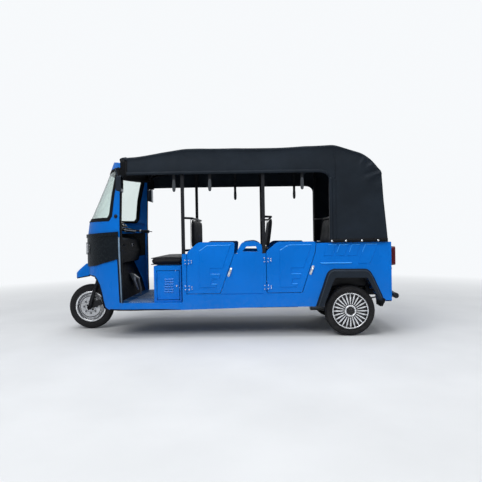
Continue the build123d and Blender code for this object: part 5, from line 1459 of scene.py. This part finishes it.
for side, word in SIDES:
    places = [(0.568 + 0.041 * j / 5, 1.590 + 0.112 * k / 8) for k in range(9) for j in range(6)]
    points = [screen_point(side * y, z, 0.0012) for y, z in places]
    band("pillar_cap_" + word, points, 6, "seal_rubber", 0.0012)

# Black sheet inside the header: painted shade under the roof; it also covers the gap between the canopy's
# edge and the header
SHADE_SHEET_HALF = 0.588
points = []
for k in range(31):
    y = SHADE_SHEET_HALF * (2 * k / 30 - 1)
    crown = 1 - (y / (HALF - SHOULDER)) ** 2
    points.append(screen_point(y, 1.697, -0.035))
    points.append(screen_point(y, 1.716, -0.036))
    points.append(screen_point(y, 1.732 + 0.060 * crown, -0.034))
    points.append(
        Vector((-0.985 - 0.045 * crown, y, roof_height(-0.985) + (CROWN - 0.004) * crown - 0.016))
    )
    points.append(Vector((-0.930, y, roof_height(-0.930) + CROWN * crown - 0.009)))
band("header_shade_sheet", points, 5, "seal_rubber", 0.003)

for side, word in SIDES:
    points = []
    for k in range(9):
        z = 1.604 + 0.162 * k / 8
        for x, y in ((-0.925, 0.6395), (-0.952, 0.6385), (-0.975, 0.6280), (-0.999, 0.6115)):
            points.append(Vector((x, side * y, z)))
    band("canopy_return_" + word, points, 4, "seal_rubber", 0.002)
    edge = [side_point(LIP_SIDE_X - 0.002, 1.618 + 0.142 * k / 12, side) for k in range(13)]
    strip("canopy_binding_" + word, edge, (0.030, 0, 0), (0, side * 0.0027, 0), "seal_rubber")

# Rolled edges that catch the light; their lighter, glossier blue is a painted highlight over the real
# rounding
PRESS_TOP = ((-0.231, 0.862), (-0.151, 0.914), (0.080, 0.916))
PRESS_LEDGES = (((-0.124, 0.632), (-0.026, 0.632)), ((-0.116, 0.534), (-0.061, 0.534)))
REAR_SHIFT = (0.796, -0.007)
# Quarter pads: height of the top edges, and front and rear end of each
PAD_TOP = 0.9045
PAD_EDGES = ((1.040, 1.117), (1.152, 1.235), (1.272, 1.351), (1.400, 1.514))


def bent(line, side, y, turn=0.012, steps=5):
    """Points along a chain of straight runs in x, z with its corners rounded off."""
    points = [Vector((line[0][0], side * y, line[0][1]))]
    for before, corner, after in zip(line, line[1:], line[2:]):
        corner = Vector((corner[0], side * y, corner[1]))
        entry = (Vector((before[0], side * y, before[1])) - corner).normalized() * turn
        leave = (Vector((after[0], side * y, after[1])) - corner).normalized() * turn
        for k in range(steps + 1):
            t = k / steps
            points.append(corner + entry * (1 - t) ** 2 + leave * t * t)
    points.append(Vector((line[-1][0], side * y, line[-1][1])))
    return points


for side, word in SIDES:
    for place, (dx, dz) in (("front", (0, 0)), ("rear", REAR_SHIFT)):
        name = "_" + place + "_" + word
        body = "door" + name
        top = [(x + dx, z + dz) for x, z in PRESS_TOP]
        tube("press_edge" + name, bent(top, side, 0.6218), 0.0046, "blue_highlight_paint", body)
        for number, ledge in enumerate(PRESS_LEDGES):
            run = [(x + dx, z + dz) for x, z in ledge]
            tube(
                "press_ledge_%d" % number + name, bent(run, side, 0.6226), 0.0042, "blue_highlight_paint", body,
            )
    bead = [(0.962, 0.7240), (1.100, 0.7245), (1.264, 0.7235)]
    tube("quarter_bead_" + word, bent(bead, side, 0.6210), 0.0078, "blue_highlight_paint")
    for number, (front, rear) in enumerate(PAD_EDGES):
        top = [(front - 0.030, 0.830)] if number else []
        top += [(front, PAD_TOP), (rear, PAD_TOP)]
        tube(
            "pad_edge_%d_" % number + word, bent(top, side, 0.6225, 0.010), 0.0044, "blue_highlight_paint",
        )
    arm = [(0.146, 0.838), (0.197, 0.936), (0.320, 0.946), (0.383, 0.914), (0.386, 0.838)]
    tube("armrest_rim_" + word, bent(arm, side, 0.6125, 0.03), 0.0088, "blue_paint")

# Flares and the quarter's lower edge
FLARE_FOOT = (
    (0.913, 0.300), (1.023, 0.618), (1.046, 0.647), (1.083, 0.665), (1.409, 0.660), (1.446, 0.634),
    (1.475, 0.582), (1.560, 0.392),
)
FLARE_CREST = (
    (0.932, 0.300), (1.038, 0.612), (1.057, 0.636), (1.087, 0.6495), (1.405, 0.6445), (1.433, 0.624),
    (1.459, 0.577), (1.545, 0.380),
)
# Liner behind the tyre as x, z, and the black cover on the quarter's lower tip as front x, rear x, z
HOUSE_LINER = ((1.512, 0.440), (1.524, 0.390), (1.531, 0.340), (1.534, 0.297))
TIP_ROWS = (
    (1.5385, 1.561, 0.2935), (1.5385, 1.574, 0.3200), (1.5385, 1.587, 0.3450), (1.5385, 1.589, 0.3600),
    (1.5395, 1.578, 0.3720),
)
# Rubber under the quarter's rear end, and a black return over its edge round the wheel opening
QUARTER_FOOT = ((1.590, 0.3475), (1.615, 0.3475), (1.643, 0.3475))
ARCH_RETURN = ((1.0990, 0.5798), (1.4113, 0.5778), (1.4430, 0.5163), (1.5388, 0.3296), (1.5388, 0.2935))
for side, word in SIDES:
    tube("flare_joint_" + word, bent(FLARE_FOOT, side, 0.6215, 0.015), 0.0036, "seal_rubber")
    # The flare's crest lip in lighter grey: painted highlight along its top
    tube(
        "flare_lip_" + word, bent(FLARE_CREST, side, 0.6485, 0.015), 0.0034, "flare_highlight_grey",
    )
    points = [Vector((x, side * y, z)) for x, z in HOUSE_LINER for y in (0.488, 0.545, 0.6015, 0.6185)]
    band("house_liner_" + word, points, 4, "seal_rubber", 0.003)
    points = []
    for front, rear, z in TIP_ROWS:
        for x, y in ((front, 0.6195), (front + 0.002, 0.6215), (rear - 0.002, 0.6215), (rear, 0.6195)):
            points.append(Vector((x, side * y, z)))
    band("tip_cover_" + word, points, 4, "seal_rubber", 0.0016)
    points = [Vector((x, side * y, z)) for x, z in ARCH_RETURN for y in (0.6020, 0.6260)]
    band("arch_return_" + word, points, 2, "seal_rubber", 0.0016)
    tube("quarter_foot_" + word, bent(QUARTER_FOOT, side, 0.6180), 0.0050, "seal_rubber")

# Rear: window welt, plate and canopy seams
welt_line = []
WELT_GAP, WELT_LIFT = 0.004, 0.002
for z, turn in ((WINDOW_LOW - WELT_GAP, 1), (WINDOW_HIGH + WELT_GAP, -1)):
    for k in range(13):
        y = turn * (2 * k / 12 - 1) * (WINDOW_HALF + WELT_GAP)
        welt_line.append(Vector((along(WALL_LINE, z) + WELT_LIFT, y, z)))
    for k in range(1, 9):
        step = k if turn > 0 else 9 - k
        level = WINDOW_LOW + (WINDOW_HIGH - WINDOW_LOW) * step / 9
        welt_line.append(
            Vector((along(WALL_LINE, level) + WELT_LIFT, turn * (WINDOW_HALF + WELT_GAP), level))
        )
tube("window_welt", welt_line, 0.0075, "seal_rubber", closed=True)

blank_plate = plate_form((1.6523, 0, 0.600), (0, 1, 0), (0, 0, 1), 0.225, 0.078, 0.0016, 0.012)
many("blank_plate", [blank_plate], "plate_white", smooth=False)
many(
    "plate_screws", [hex_bolt((1.654, s * 0.100, 0.600), (1, 0, 0), 0.0065, 0.005) for s in (-1, 1)],
    "steel_dark",
)

SEAMS = (("high", 1.105, 1.545, 16, 0.012), ("low", 1.112, CURTAIN_LOW + 0.034, 30, 0.010))
for side, word in SIDES:
    for place, x, low, count, width in SEAMS:
        top = roof_height(x) - SHOULDER if place == "high" else 1.545
        seam = [side_point(x, low + (top - low) * k / count, side) for k in range(count + 1)]
        strip("seam_%s_" % place + word, seam, (width, 0, 0), (0, side * 0.0016, 0), thickness=0.0014)
